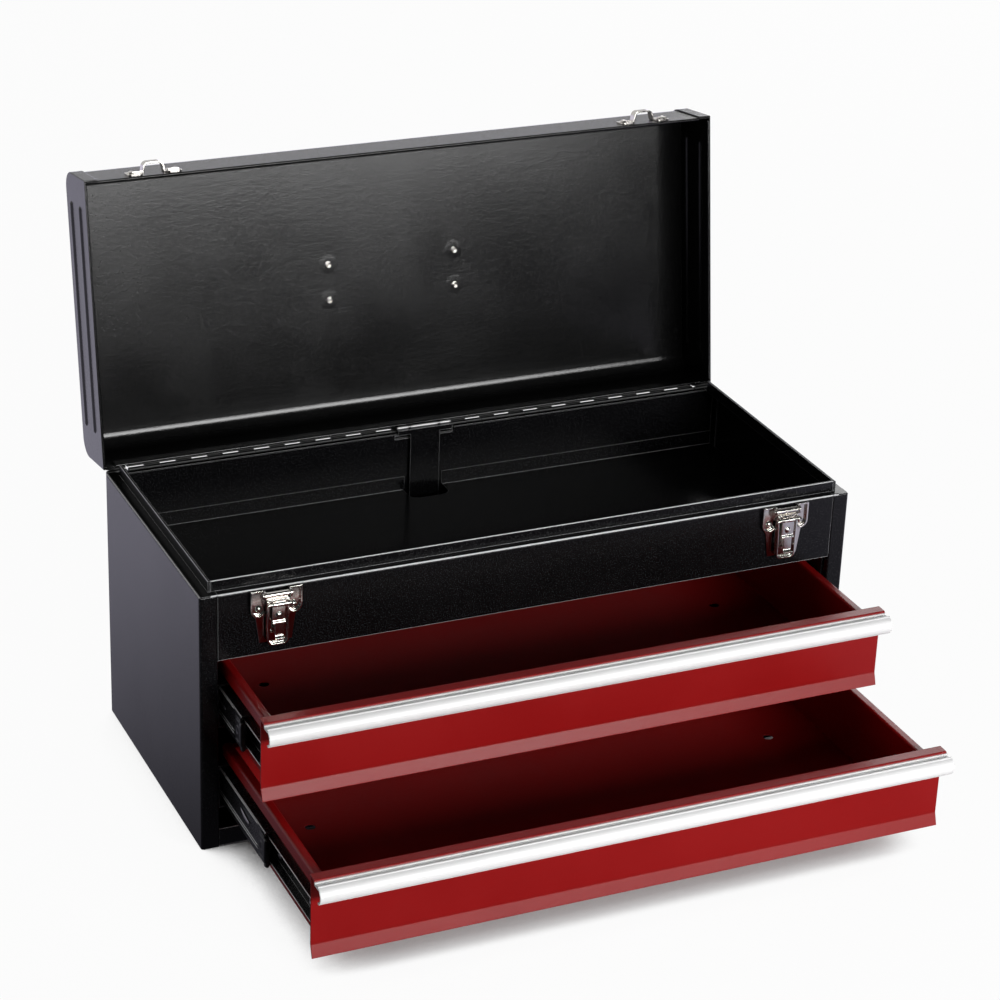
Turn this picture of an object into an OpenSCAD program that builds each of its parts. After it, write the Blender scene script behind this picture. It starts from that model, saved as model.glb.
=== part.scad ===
// Portable steel tool box with a lift-up lid, a top tray and two drawers.
// Origin: centre of the case's resting face. +Z up, the drawers open towards -Y.

/* [Case] */
// Width over the side panels
case_w = 520; // [480:1:600]
// Depth from the front fascia to the back panel
case_d = 221; // [215:1:260]
// Height of the side panels
case_h = 205; // [198:1:230]
// Thickness of the case, lid and drawer steel
sheet = 1; // [0.8:0.05:1.2]
// Width of the pillar that each side panel folds round the front
pillar_w = 13.6; // [12:0.1:18]
// Height of the rail under the lower drawer
rail_h = 15; // [12:0.5:18]
// Outside radius of the folded edges
fold_r = 2; // [1.6:0.1:3]
// Inward step at the top of the sides, on which the lid sits
side_ledge = 8.5; // [7:0.5:10]
// Inward step at the top of the front
front_ledge = 6.5; // [5.5:0.5:9]
// Height of the hemmed lip that stands inside the lid
lip_h = 8.4; // [6:0.2:11]
// Height of the flange at the back of the tray floor
tray_flange = 11.5; // [8:0.5:16]

/* [Lid] */
// Height of the lid ends above the case
lid_h = 52.5; // [44:0.5:70]
// Radius of the lid's front and rear bends
lid_r = 13; // [8:0.5:18]
// How far the lid ends lap over the lid shell
lid_lap = 10; // [6:0.5:16]
// Gap between the lid's rim and the case
rim_gap = 0.6; // [0.4:0.1:1.2]
// How far the lid is open, in degrees
lid_open = 98.2; // [0:0.1:98.2]
// Width of the raised ribs on the lid ends
rib_w = 5.2; // [4:0.2:8]
// Height that the ribs stand proud
rib_rise = 1.2; // [0.6:0.1:1.6]

/* [Hinge] */
// Outside diameter of the hinge knuckles
knuckle_d = 5.8; // [5.2:0.1:6.4]
// Length of one knuckle and its gap
knuckle_pitch = 12.7; // [10:0.1:25.4]
// Diameter of the hinge pin
hinge_pin_d = 2.6; // [2:0.1:3]
// Thickness of the hinge leaves
leaf_t = 0.9; // [0.7:0.05:1.1]
// Height of each hinge leaf from the pin's axis
leaf_h = 17; // [12:0.5:24]

/* [Drawers] */
// Height of a drawer front
front_h = 63.6; // [60:0.2:64.4]
// Gap between the two drawer fronts
drawer_gap = 2.7; // [1.5:0.1:4]
// Room behind a drawer's back wall when it is shut
drawer_room = 22.5; // [21:0.5:30]
// Height of the pull strip's blade
strip_h = 12.4; // [11:0.2:16]
// How far the pull strip bulges in front of the drawer
strip_reach = 17.8; // [15.6:0.2:22]
// How far the upper drawer is pulled out
upper_pull = 84; // [0:1:190]
// How far the lower drawer is pulled out
lower_pull = 183.2; // [0:1:190]

/* [Slides] */
// Room behind the ball-bearing slides
slide_room = 14.5; // [13:0.5:20]
// Thickness of a slide between drawer and case
slide_t = 12.7; // [12.4:0.1:13.4]
// Height of a slide's fixed rail
slide_h = 35; // [34:0.5:36]
// Diameter of the slide balls
ball_d = 2.8; // [2.6:0.1:2.9]
// Height of the slide's centre above the drawer's lower edge
slide_rise = 26.4; // [25.5:0.1:27]

/* [Latches] */
// Distance of the latches from the case's sides
latch_inset = 56; // [40:1:90]
// Width of a latch's base plate
latch_w = 38.6; // [37:0.2:44]
// Diameter of the latch levers' cross pins
latch_pin_d = 2.4; // [2:0.1:3]
// Width of a latch lever
lever_w = 17; // [16:0.5:18]
// Length of a latch lever below its pin
lever_l = 39; // [36:0.5:41]

/* [Handle] */
// Distance between the two handle brackets
handle_span = 107.6; // [96:0.2:130]
// Distance from the handle's pivot to the middle of its grip
handle_reach = 38; // [34:0.5:48]
// Diameter of the handle's steel rod
bail_d = 6.4; // [5:0.2:8]
// Diameter of the handle's grip
grip_d = 17; // [14:0.5:20]
// Distance between the two rivets of a bracket
bracket_rivets = 28.7; // [26:0.1:34]

/* [Hidden] */
$fn = 48;

// Colours
black = [0.16, 0.16, 0.18];
red = [0.58, 0.05, 0.07];
bright = [0.86, 0.86, 0.87];
nickel = [0.74, 0.71, 0.68];
rail_black = [0.09, 0.09, 0.10];
rail_steel = [0.62, 0.63, 0.65];
rubber_black = [0.10, 0.10, 0.10];

// Whole-case values
hw = case_w / 2;
hd = case_d / 2;
hem_gap = 0.2;
hem_t = 2 * sheet + hem_gap;
bend_steps = 6;

// Stack of the drawers behind the front
rail_reveal = 4.6;
fascia_reveal = 3;
pulls = [lower_pull, upper_pull];
drawer_z = [for (i = [0, 1]) rail_h + rail_reveal + i * (front_h + drawer_gap)];
fascia_z = drawer_z[1] + front_h + fascia_reveal;
tray_z = fascia_z + 2 * sheet;
front_gap = 2;
front_hw = hw - pillar_w - front_gap;
pillar_return = 5;

// Slides and the drawer between them
slide_inset = 1.7;
slide_x = hw - pillar_w - slide_inset;
body_hw = slide_x - slide_t;
slide_front = 6.5;
slide_y = -hd + slide_front;
slide_l = case_d - slide_front - slide_room;
drawer_l = case_d - drawer_room;
rail_t = 1.1;
cage_front = 60;
cage_l = 80;
ball_clear = 0.03;
race = ball_d + 2 * ball_clear;
middle_h = slide_h - 2 * (rail_t + race);
inner_h = middle_h - 2 * (rail_t + race);
flange_out = 5.4;
flange_lip = 8.5;
wall_drop = 7.9;
floor_rise = 2.5;
pan_rim = 7;
pan_hole_d = 8;
pan_hole_x = 188;
pan_hole_back = 152;

// Hinge
hinge_y = hd + 3.5;
hinge_z = case_h - 2.5;
pin_clear = 0.05;
knuckle_gap = 0.35;
hinge_margin = 17;
knuckles = 2 * floor((case_w - 2 * hinge_margin) / (2 * knuckle_pitch));
hinge_l = knuckles * knuckle_pitch;

// Lock bar behind the drawers
bar_w = 25;
bar_t = 1.2;
bar_y = hd - 4.5;
bar_tab_w = 46;
bar_rise = 2.2;
bar_travel = 5;
bar_foot_z = 12;
bar_room = 0.6;
catch_w = 16;
catch_reach = 10;
catch_lip = 5;
catch_rise = 40;
finger_tip = 6;
finger_clear = 0.8;

// Latches
latch_x = hw - latch_inset;
latch_t = 1.2;
latch_pin_f = 5;
latch_pin_drop = 4;
lever_t = 1.1;
lever_rim = 2.6;
lever_side = 0.45;
lever_f = 3.7;
lobe_r = 6.2;
lobe_drop = 11.2;
lobe_x = latch_w / 2 - lobe_r;
hook_f = 9;
hook_drop = 6;
hook_pin_d = 1.8;
hook_w = 9.6;
hook_l = 25.6;
hook_catch = 3;
strike_w = 42.5;
strike_low = 3.6;
strike_flange = 12.5;
strike_rivet_z = 10.6;
strike_rivet_x = strike_w / 2 - 4.2;
bridge_w = 16;
bridge_f = 7.6;
bridge_low = 7.8;
bridge_h = 7.2;

// Handle
handle_y = -0.85;
bracket_w = 14;
bracket_t = 1.6;
pivot_rise = bail_d / 2 + 2.6;
handle_hang = 8.2;
bail_bend = 6;
bail_leg = handle_span / 2 - bracket_w / 2 - bail_bend - 0.5;
rivet_shank_d = 3.2;
rivet_d = 6.4;
rivet_head = 1.6;

function xy(p) = [p[0], p[1]];
function unit(v) = v / norm(v);
function left_of(v) = [-v[1], v[0]];
function reversed(list) = [for (i = [len(list) - 1 : -1 : 0]) list[i]];

// Points of the bend at corner b, between a and c, for the line that runs d to the left of it.
// The third number of b is the bend's radius.
function bend(a, b, c, d) =
    let (from = unit(xy(b) - xy(a)),
         to = unit(xy(c) - xy(b)),
         side = sign(cross(from, to)),
         turn = acos(max(-1, min(1, from * to))),
         centre = xy(b) - from * b[2] * tan(turn / 2) + side * b[2] * left_of(from),
         start = atan2(-side * left_of(from)[1], -side * left_of(from)[0]))
    [for (i = [0 : bend_steps])
        centre + (b[2] - side * d) * [cos(start + side * turn * i / bend_steps),
                                      sin(start + side * turn * i / bend_steps)]];

function sheet_line(path, d) =
    let (n = len(path) - 1,
         first = unit(xy(path[1]) - xy(path[0])),
         last = unit(xy(path[n]) - xy(path[n - 1])))
    concat([xy(path[0]) + d * left_of(first)],
           [for (i = [1 : 1 : n - 1]) each bend(path[i - 1], path[i], path[i + 1], d)],
           [xy(path[n]) + d * left_of(last)]);

// Section of a folded sheet. The path is one face, and the sheet lies t to the left of it.
module folded(path, t) {
    polygon(concat(sheet_line(path, 0), reversed(sheet_line(path, t))));
}

// A section drawn as (y, z), run along x from x0 to x1
module along_x(x0, x1) {
    translate([x0, 0, 0]) rotate([90, 0, 90]) linear_extrude(x1 - x0) children();
}

// A section drawn as (x, z), run along y from y0 to y1
module along_y(y0, y1) {
    translate([0, y1, 0]) rotate([90, 0, 0]) linear_extrude(y1 - y0) children();
}

module along_z(z0, z1) {
    translate([0, 0, z0]) linear_extrude(z1 - z0) children();
}

// A box from its low corner to its high corner
module block(low, high) {
    translate(low) cube(high - low);
}

module mirrored(side) {
    if (side < 0) mirror([1, 0, 0]) children();
    else children();
}

module rounded_rect(w, h, r) {
    translate([r, 0]) square([w - 2 * r, h]);
    translate([0, r]) square([w, h - 2 * r]);
    for (x = [r, w - r], y = [r, h - r]) translate([x, y]) circle(r);
}

// ---------------------------------------------------------------- case

// One side: a wall that folds round the front as a pillar, and steps in to the hemmed lip at the top
module side_panel(side) {
    lip_x = hw - side_ledge;
    top_z = case_h - 2 * fold_r;
    front = [[hw - pillar_w, -hd, 1.3], [hw, -hd, fold_r], [hw, hd]];
    color(black) mirrored(side) difference() {
        union() {
            along_z(0, top_z) folded(concat([[hw - pillar_w, -hd + pillar_return]], front), sheet);
            intersection() {
                union() {
                    along_y(-hd, hd) folded([
                        [hw, top_z],
                        [hw, case_h, fold_r],
                        [lip_x, case_h]
                    ], sheet);
                    along_x(hw - pillar_w, hw - fold_r / 2) folded([
                        [-hd, top_z],
                        [-hd, case_h, fold_r],
                        [-hd + front_ledge + hem_t, case_h]
                    ], -sheet);
                }
                along_z(top_z - 1, case_h + 1) polygon(sheet_line(concat([[hw - pillar_w, hd]], front), 0));
            }
            along_y(-hd + front_ledge, hd - fold_r) folded([
                [lip_x + sheet, case_h - sheet],
                [lip_x - hem_t, case_h - sheet]
            ], -sheet);
            along_y(-hd + front_ledge, hd - front_ledge) folded([
                [lip_x, case_h - sheet / 2],
                [lip_x, case_h + lip_h, hem_t / 2],
                [lip_x - hem_t, case_h + lip_h, hem_t / 2],
                [lip_x - hem_t, case_h - sheet]
            ], sheet);
        }
        // The pillar's return stops short of the fascia and the bottom rail
        block([hw - pillar_w - 1, -hd + fold_r, -1], [hw - pillar_w + fold_r, 0, rail_h + rail_reveal]);
        block([hw - pillar_w - 1, -hd + sheet, fascia_z - fascia_reveal],
              [hw - pillar_w + fold_r, 0, top_z]);
    }
}

module back_panel() {
    notch_hw = bar_tab_w / 2 + 1.5;
    ledge = 5;
    side_flange = 10;
    corner_x = hw - side_ledge - hem_t;
    color(black) {
        difference() {
            along_x(-hw + sheet, hw - sheet) folded([
                [hd, 0],
                [hd, case_h, fold_r],
                [hd - ledge, case_h]
            ], sheet);
            block([-notch_hw, hd - ledge - 1, case_h - bar_travel - 1.5], [notch_hw, hd + 1, case_h + 1]);
            // The sides' ledges lie over the corners
            for (side = [-1, 1]) mirrored(side)
                block([corner_x, hd - ledge - 1, case_h - sheet], [hw, hd + 1, case_h + 1]);
        }
        // Side flanges below and above the tray floor
        for (side = [-1, 1], z = [[2 * sheet, tray_z - sheet - 0.3], [tray_z + 0.3, case_h - 3]])
            mirrored(side) block([hw - 2 * sheet, hd - side_flange, z[0]], [hw - sheet, hd - sheet / 2, z[1]]);
    }
}

// The floor of the case folds up at the front as the rail under the lower drawer
module bottom_panel() {
    flange = 9;
    rail_hw = hw - pillar_w;
    color(black) {
        along_x(-rail_hw, rail_hw) folded([
            [hd - sheet, 0],
            [-hd, 0, fold_r],
            [-hd, rail_h, 1.3],
            [-hd + flange, rail_h]
        ], -sheet);
        for (side = [-1, 1]) mirrored(side) {
            block([rail_hw - 0.01, -hd + 2 * sheet, 0], [hw - sheet, hd - sheet, sheet]);
            along_y(-hd + flange, hd - 12) folded([
                [hw - 3 * sheet, sheet / 2],
                [hw - sheet, sheet / 2, 1.4],
                [hw - sheet, flange]
            ], sheet);
        }
        along_x(-rail_hw, rail_hw) folded([
            [hd - 4 * sheet, 0],
            [hd - sheet, 0, 1.4],
            [hd - sheet, flange]
        ], sheet);
    }
}

// The fixed front above the drawers, with its own ledge and hemmed lip
module front_fascia() {
    half = hw - pillar_w;
    tab = 8;
    fold = 10;
    lip_y = -hd + front_ledge;
    color(black) {
        along_x(-half, half) folded([
            [-hd + fold, fascia_z],
            [-hd, fascia_z, 1.3],
            [-hd, case_h, fold_r],
            [lip_y, case_h]
        ], -sheet);
        along_x(-half, half) folded([
            [lip_y - sheet, case_h - sheet],
            [lip_y + hem_t, case_h - sheet]
        ], sheet);
        difference() {
            along_x(-hw + side_ledge + hem_t, hw - side_ledge - hem_t) folded([
                [lip_y, case_h - sheet / 2],
                [lip_y, case_h + lip_h, hem_t / 2],
                [lip_y + hem_t, case_h + lip_h, hem_t / 2],
                [lip_y + hem_t, case_h - sheet]
            ], -sheet);
            // The lip's ends stand on the pillars' ledges
            for (side = [-1, 1]) mirrored(side)
                block([half, lip_y - 1, case_h - 2 * sheet], [hw, lip_y + hem_t + 1, case_h]);
        }
        // Tabs that reach behind the pillars
        for (side = [-1, 1]) mirrored(side) along_z(fascia_z + 3, case_h - 2 * fold_r - sheet) polygon([
            [half - tab, -hd + sheet / 2],
            [half - sheet, -hd + sheet / 2],
            [half - sheet, -hd + sheet],
            [half + tab, -hd + sheet],
            [half + tab, -hd + 2 * sheet],
            [half - tab, -hd + 2 * sheet]
        ]);
    }
}

module tray_floor() {
    inner = hw - sheet - 0.2;
    front = -hd + 2 * sheet + 0.2;
    back = hd - sheet;
    gap_hw = 16;
    notch_hw = 17;
    notch_reach = 19;
    notch_r = 8;
    color(black) difference() {
        union() {
            block([-inner, front, tray_z - sheet], [inner, back, tray_z]);
            along_x(-inner + 1, inner - 1) folded([
                [back - 2 * sheet, tray_z - sheet],
                [back, tray_z - sheet, 1.4],
                [back, tray_z + tray_flange]
            ], sheet);
            for (side = [-1, 1]) mirrored(side)
                block([inner - sheet, -hd + 24, tray_z - 9], [inner, hd - 30, tray_z - sheet / 2]);
        }
        // Gap in the flange and the rounded notch in the floor, for the lock bar
        block([-gap_hw, back - 4, tray_z - 0.01], [gap_hw, back + 1, tray_z + tray_flange + 1]);
        along_z(tray_z - 2 * sheet, tray_z + sheet)
            translate([-notch_hw, back - notch_reach]) rounded_rect(2 * notch_hw, 2 * notch_reach, notch_r);
    }
}

// A pressed channel on the inside of each side panel, that carries the two slides
module slide_carrier(side) {
    front = slide_y;
    back = slide_y + slide_l + 1.5;
    foot = 14;
    color(black) mirrored(side) along_z(rail_h + 2, fascia_z) folded([
        [hw - sheet, front + foot],
        [hw - sheet, front, 1.4],
        [slide_x, front, 1.4],
        [slide_x, back, 1.4],
        [hw - sheet, back, 1.4],
        [hw - sheet, back - foot]
    ], -sheet);
}

// ---------------------------------------------------------------- hinge

module on_lid() {
    translate([0, hinge_y, hinge_z]) rotate([-lid_open, 0, 0]) translate([0, -hinge_y, -hinge_z]) children();
}

// Knuckles with even or odd numbers
module knuckle_run(first, bore) {
    for (i = [first : 2 : knuckles - 1])
        translate([-hinge_l / 2 + i * knuckle_pitch + knuckle_gap / 2, 0, 0]) rotate([90, 0, 90])
            linear_extrude(knuckle_pitch - knuckle_gap) difference() {
                union() {
                    circle(d = knuckle_d);
                    translate([-knuckle_d / 2 - 0.2, 0]) square([leaf_t * 0.75, knuckle_d / 2 + 0.4]);
                }
                circle(d = bore);
            }
}

// A leaf with its plate above the pin's axis; the axis is x
module hinge_leaf(first, bore) {
    plate_y = hd - hinge_y;
    knuckle_run(first, bore);
    block([-hinge_l / 2, plate_y, knuckle_d / 2 + 0.35], [hinge_l / 2, plate_y + leaf_t, leaf_h]);
}

module case_hinge_leaf() {
    color(black) translate([0, hinge_y, hinge_z]) mirror([0, 0, 1]) hinge_leaf(0, hinge_pin_d);
}

module lid_hinge_leaf() {
    color(black) on_lid() translate([0, hinge_y, hinge_z]) hinge_leaf(1, hinge_pin_d + 2 * pin_clear);
}

module hinge_pin() {
    color(rail_steel) translate([-hinge_l / 2 - 0.5, hinge_y, hinge_z]) rotate([0, 90, 0])
        cylinder(d = hinge_pin_d, h = hinge_l + 1);
}

// ---------------------------------------------------------------- lid

// Section of the lid in (y, z), grown outwards by g
module lid_outline(g) {
    y0 = hd + g;
    z0 = case_h + rim_gap;
    top = case_h + lid_h - sheet + g;
    r = lid_r + g;
    translate([-y0, z0]) square([2 * y0, top - z0 - r]);
    translate([-y0 + r, z0]) square([2 * (y0 - r), top - z0]);
    for (y = [-y0 + r, y0 - r]) translate([y, top - r]) circle(r, $fn = 96);
}

// Front, top and rear of the lid bent from one sheet, with a hemmed rim
module lid_shell() {
    rim = case_h + rim_gap;
    hem = 11;
    color(black) on_lid() difference() {
        union() {
            along_x(-hw + sheet, hw - sheet) difference() {
                lid_outline(0);
                lid_outline(-sheet);
                translate([-hd + sheet, rim - 1]) square([case_d - 2 * sheet, 3]);
            }
            for (m = [0, 1]) mirror([0, m, 0]) along_x(-hw + lid_lap, hw - lid_lap) folded([
                [-hd, rim + 4],
                [-hd, rim, hem_t / 2],
                [-hd + hem_t, rim, hem_t / 2],
                [-hd + hem_t, rim + hem]
            ], sheet);
        }
        // The rim's corners follow the round of the hem
        for (m = [0, 1]) mirror([0, m, 0]) difference() {
            block([-hw, -hd - 1, rim - 1], [hw, -hd + hem_t / 2, rim + hem_t / 2]);
            translate([-hw - 1, -hd + hem_t / 2, rim + hem_t / 2]) rotate([0, 90, 0])
                cylinder(d = hem_t, h = case_w + 2);
        }
        for (y = [-bracket_rivets / 2, bracket_rivets / 2], x = [-handle_span / 2, handle_span / 2])
            translate([x, handle_y + y, case_h + lid_h - 4]) cylinder(d = rivet_shank_d, h = 8);
    }
}

// A raised rib along y with round ends; w wide and h proud of the face at z = 0
module rib(length, w, h) {
    r = (w * w / 4 + h * h) / (2 * h);
    intersection() {
        block([-w, -length / 2 - w, 0], [w, length / 2 + w, h + 1]);
        translate([0, 0, h - r]) {
            rotate([90, 0, 0]) cylinder(r = r, h = length - w, center = true, $fn = 96);
            for (s = [-1, 1]) translate([0, s * (length - w) / 2, 0]) sphere(r = r, $fn = 96);
        }
    }
}

// The outside of a lid end, with a rounded edge of radius e
module lid_end_form(e) {
    r = lid_r + sheet;
    y1 = hd + sheet;
    z0 = case_h + rim_gap;
    z1 = case_h + lid_h;
    along_x(hw - lid_lap, hw - e) lid_outline(sheet);
    along_x(hw - 2 * e, hw) lid_outline(sheet - e);
    translate([hw - e, r - y1, z1 - e]) rotate([-90, 0, 0]) cylinder(r = e, h = 2 * (y1 - r));
    for (m = [0, 1]) mirror([0, m, 0]) {
        translate([hw - e, y1 - e, z0]) cylinder(r = e, h = z1 - r - z0);
        translate([hw - e, y1 - r, z1 - r]) rotate([90, 0, 90])
            rotate_extrude(angle = 90) translate([r - e, 0]) circle(e);
    }
}

// An end cap with two pressed ribs, whose flange laps over the shell
module lid_end(side) {
    rib_at = [17, 40];
    rib_front = 21;
    rib_back = 24;
    rib_l = case_d - rib_front - rib_back;
    rim = case_h + rim_gap;
    color(black) on_lid() mirrored(side) {
        difference() {
            lid_end_form(0.8);
            along_x(hw - lid_lap - 1, hw - sheet) {
                lid_outline(0);
                translate([-hd, rim - 1]) square([case_d, 3]);
            }
            for (z = rib_at) translate([hw, (rib_front - rib_back) / 2, rim - rim_gap + z])
                rotate([0, 90, 0]) rib_groove(rib_l);
        }
        for (z = rib_at) translate([hw, (rib_front - rib_back) / 2, rim - rim_gap + z])
            rotate([0, 90, 0]) difference() {
                rib(rib_l, rib_w, rib_rise);
                rib_groove(rib_l);
            }
        // Hem along the rim, inside the end
        along_y(-hd + 3 * sheet, hd - 3 * sheet) translate([hw - sheet - hem_t + 1, rim])
            rounded_rect(hem_t - 1 + 0.01, 11, 0.5);
    }
}

// The hollow that the press leaves behind a rib
module rib_groove(length) {
    r = (rib_w * rib_w / 4 + rib_rise * rib_rise) / (2 * rib_rise);
    translate([0, 0, rib_rise - r]) {
        rotate([90, 0, 0]) cylinder(r = r - sheet, h = length - rib_w, center = true, $fn = 96);
        for (s = [-1, 1]) translate([0, s * (length - rib_w) / 2, 0]) sphere(r = r - sheet, $fn = 96);
    }
}

// ---------------------------------------------------------------- handle

module handle_place() {
    on_lid() translate([0, handle_y, case_h + lid_h - sheet]) children();
}

module handle_brackets() {
    plate_l = bracket_rivets + 9;
    hump = bail_d / 2 + 0.08;
    color(nickel) handle_place() for (x = [-handle_span / 2, handle_span / 2]) translate([x, 0, 0]) {
        linear_extrude(bracket_t) difference() {
            translate([-bracket_w / 2, -plate_l / 2]) rounded_rect(bracket_w, plate_l, 4);
            for (y = [-bracket_rivets / 2, bracket_rivets / 2]) translate([0, y]) circle(d = rivet_shank_d);
        }
        along_x(-bracket_w / 2, bracket_w / 2) difference() {
            union() {
                translate([0, pivot_rise]) circle(hump + bracket_t);
                translate([-hump - bracket_t, 0]) square([2 * (hump + bracket_t), pivot_rise]);
            }
            translate([0, pivot_rise]) circle(hump);
        }
    }
}

module handle_rivets() {
    color(nickel) handle_place()
        for (x = [-handle_span / 2, handle_span / 2], y = [-bracket_rivets / 2, bracket_rivets / 2])
            translate([x, y, 0]) {
                translate([0, 0, -sheet - 0.5]) cylinder(d = rivet_shank_d, h = sheet + bracket_t + 1);
                translate([0, 0, bracket_t]) rivet_dome(rivet_d, rivet_head);
                mirror([0, 0, 1]) translate([0, 0, sheet]) difference() {
                    rivet_dome(rivet_d, rivet_head);
                    translate([0, 0, 0.6]) cylinder(d = rivet_d / 3, h = rivet_head);
                }
            }
}

// A domed rivet head standing on z = 0
module rivet_dome(d, h) {
    r = (d * d / 4 + h * h) / (2 * h);
    intersection() {
        cylinder(d = d, h = h);
        translate([0, 0, h - r]) sphere(r = r);
    }
}

// The handle hangs from its pivots at rest, and folds about the x axis
module on_handle() {
    handle_place() translate([0, 0, pivot_rise]) rotate([handle_hang, 0, 0]) children();
}

module handle_bail() {
    leg_x = bail_leg;
    stub_x = handle_span / 2 + bracket_w / 2 + 2.5;
    r = bail_bend;
    color(bright) on_handle() for (side = [-1, 1]) mirrored(side) {
        translate([leg_x + r, 0, 0]) rotate([0, 90, 0]) cylinder(d = bail_d, h = stub_x - leg_x - r);
        translate([leg_x + r, r, 0]) rotate([0, 0, 180]) bail_elbow();
        translate([leg_x, r, 0]) rotate([-90, 0, 0]) cylinder(d = bail_d, h = handle_reach - 2 * r);
        translate([leg_x - r, handle_reach - r, 0]) bail_elbow();
        translate([-0.01, handle_reach, 0]) rotate([0, 90, 0]) cylinder(d = bail_d, h = leg_x - r + 0.01);
    }
}

module bail_elbow() {
    rotate_extrude(angle = 90) translate([bail_bend, 0]) circle(d = bail_d);
}

// A sleeve with shallow finger grooves, on the bail's crossbar
module handle_grip() {
    grip_l = 2 * (bail_leg - bail_bend) - 2;
    fingers = 4;
    color(rubber_black) on_handle() translate([-grip_l / 2, handle_reach, 0]) rotate([0, 90, 0])
        rotate_extrude($fn = 64) difference() {
            union() {
                translate([0, 1.5]) square([grip_d / 2, grip_l - 3]);
                square([grip_d / 2 - 1.5, grip_l]);
                for (z = [1.5, grip_l - 1.5]) translate([grip_d / 2 - 1.5, z]) circle(1.5);
            }
            square([bail_d, grip_l * 3], center = true);
            for (i = [0 : fingers - 1])
                translate([grip_d / 2 + 17, grip_l * (i + 0.5) / fingers]) circle(18, $fn = 96);
        }
}

// ---------------------------------------------------------------- latches and strikes

// Local frame of a latch: x across, y out of the fascia, z up from the cross pin
module latch_place(side) {
    translate([side * latch_x, -hd, case_h - latch_pin_drop]) mirror([0, 1, 0]) children();
}

// Outline of the base plate: an ear with a round lobe on each side, and a tapered tail
module latch_base_outline(ear_x, top) {
    tail_z = -lever_l + 0.5;
    shoulder_z = tail_z / 2;
    for (s = [-1, 1]) mirrored(s) {
        translate([lobe_x, -lobe_drop]) circle(lobe_r);
        translate([ear_x, -lobe_drop]) square([latch_w / 2 - ear_x, lobe_drop + top]);
    }
    difference() {
        polygon([
            [-latch_w / 2, -lobe_drop + 7], [-latch_w / 2, -lobe_drop],
            [-latch_w / 2 + 4.4, shoulder_z], [-lever_w / 2 - 3.8, tail_z],
            [lever_w / 2 + 3.8, tail_z], [latch_w / 2 - 4.4, shoulder_z],
            [latch_w / 2, -lobe_drop], [latch_w / 2, -lobe_drop + 7]
        ]);
        // Window in the tail behind the lever
        translate([-4, tail_z + 8]) square([8, 14]);
    }
}

// A raised wall round an ear and its lobe, open where the lever lies over it
module ear_rim(ear_x, top) {
    wall = 1.2;
    rim_h = 2.4;
    inner_r = lobe_r - wall;
    translate([0, latch_t - 0.1, 0]) rotate([90, 0, 0]) mirror([0, 0, 1]) linear_extrude(rim_h) difference() {
        union() {
            translate([lobe_x, -lobe_drop]) circle(lobe_r);
            translate([ear_x, -lobe_drop]) square([latch_w / 2 - ear_x, lobe_drop + top]);
        }
        translate([lobe_x, -lobe_drop]) circle(inner_r);
        translate([ear_x + wall, -lobe_drop])
            square([lobe_x + inner_r - ear_x - wall, lobe_drop + top - wall]);
        translate([-latch_w, -2 * lobe_drop]) square([latch_w + ear_x, 3 * lobe_drop]);
    }
}

module latch_base(side) {
    ear_x = lever_w / 2 + lever_side;
    ear_r = 3.4;
    ear_h = 5;
    top = latch_pin_drop - 0.8;
    color(nickel) latch_place(side) difference() {
        union() {
            rotate([90, 0, 0]) mirror([0, 0, 1]) linear_extrude(latch_t) latch_base_outline(ear_x, top);
            for (s = [-1, 1]) mirrored(s) {
                // Side ears that hold the cross pin
                block([ear_x, latch_t - 0.1, -ear_h], [ear_x + latch_t, latch_pin_f, top]);
                translate([ear_x, latch_pin_f, 0]) rotate([0, 90, 0]) cylinder(r = ear_r, h = latch_t);
                ear_rim(ear_x, top);
            }
        }
        translate([-latch_w, latch_pin_f, 0]) rotate([0, 90, 0]) cylinder(d = latch_pin_d, h = 2 * latch_w);
        for (s = [-1, 1]) translate([s * lobe_x, -1, -lobe_drop]) rotate([-90, 0, 0])
            cylinder(d = rivet_shank_d, h = 4);
    }
}

// A section drawn as (y, z) in a latch's local frame
module along_x_local(x0, x1) {
    translate([x0, 0, 0]) rotate([90, 0, 90]) linear_extrude(x1 - x0) children();
}

module latch_rivets() {
    color(nickel) for (side = [-1, 1]) latch_place(side)
        for (s = [-1, 1]) translate([s * lobe_x, 0, -lobe_drop]) rotate([-90, 0, 0]) {
            cylinder(d = rivet_shank_d, h = latch_t + 0.5);
            translate([0, 0, latch_t]) rivet_dome(5.4, 1.9);
        }
}

module latch_pin(side) {
    reach = lever_w / 2 + lever_side + latch_t + 1;
    color(nickel) latch_place(side) translate([-reach, latch_pin_f, 0]) rotate([0, 90, 0]) {
        cylinder(d = latch_pin_d, h = 2 * reach);
        for (z = [0, 2 * reach - 1]) translate([0, 0, z]) cylinder(d = latch_pin_d + 1.4, h = 1);
    }
}

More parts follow.
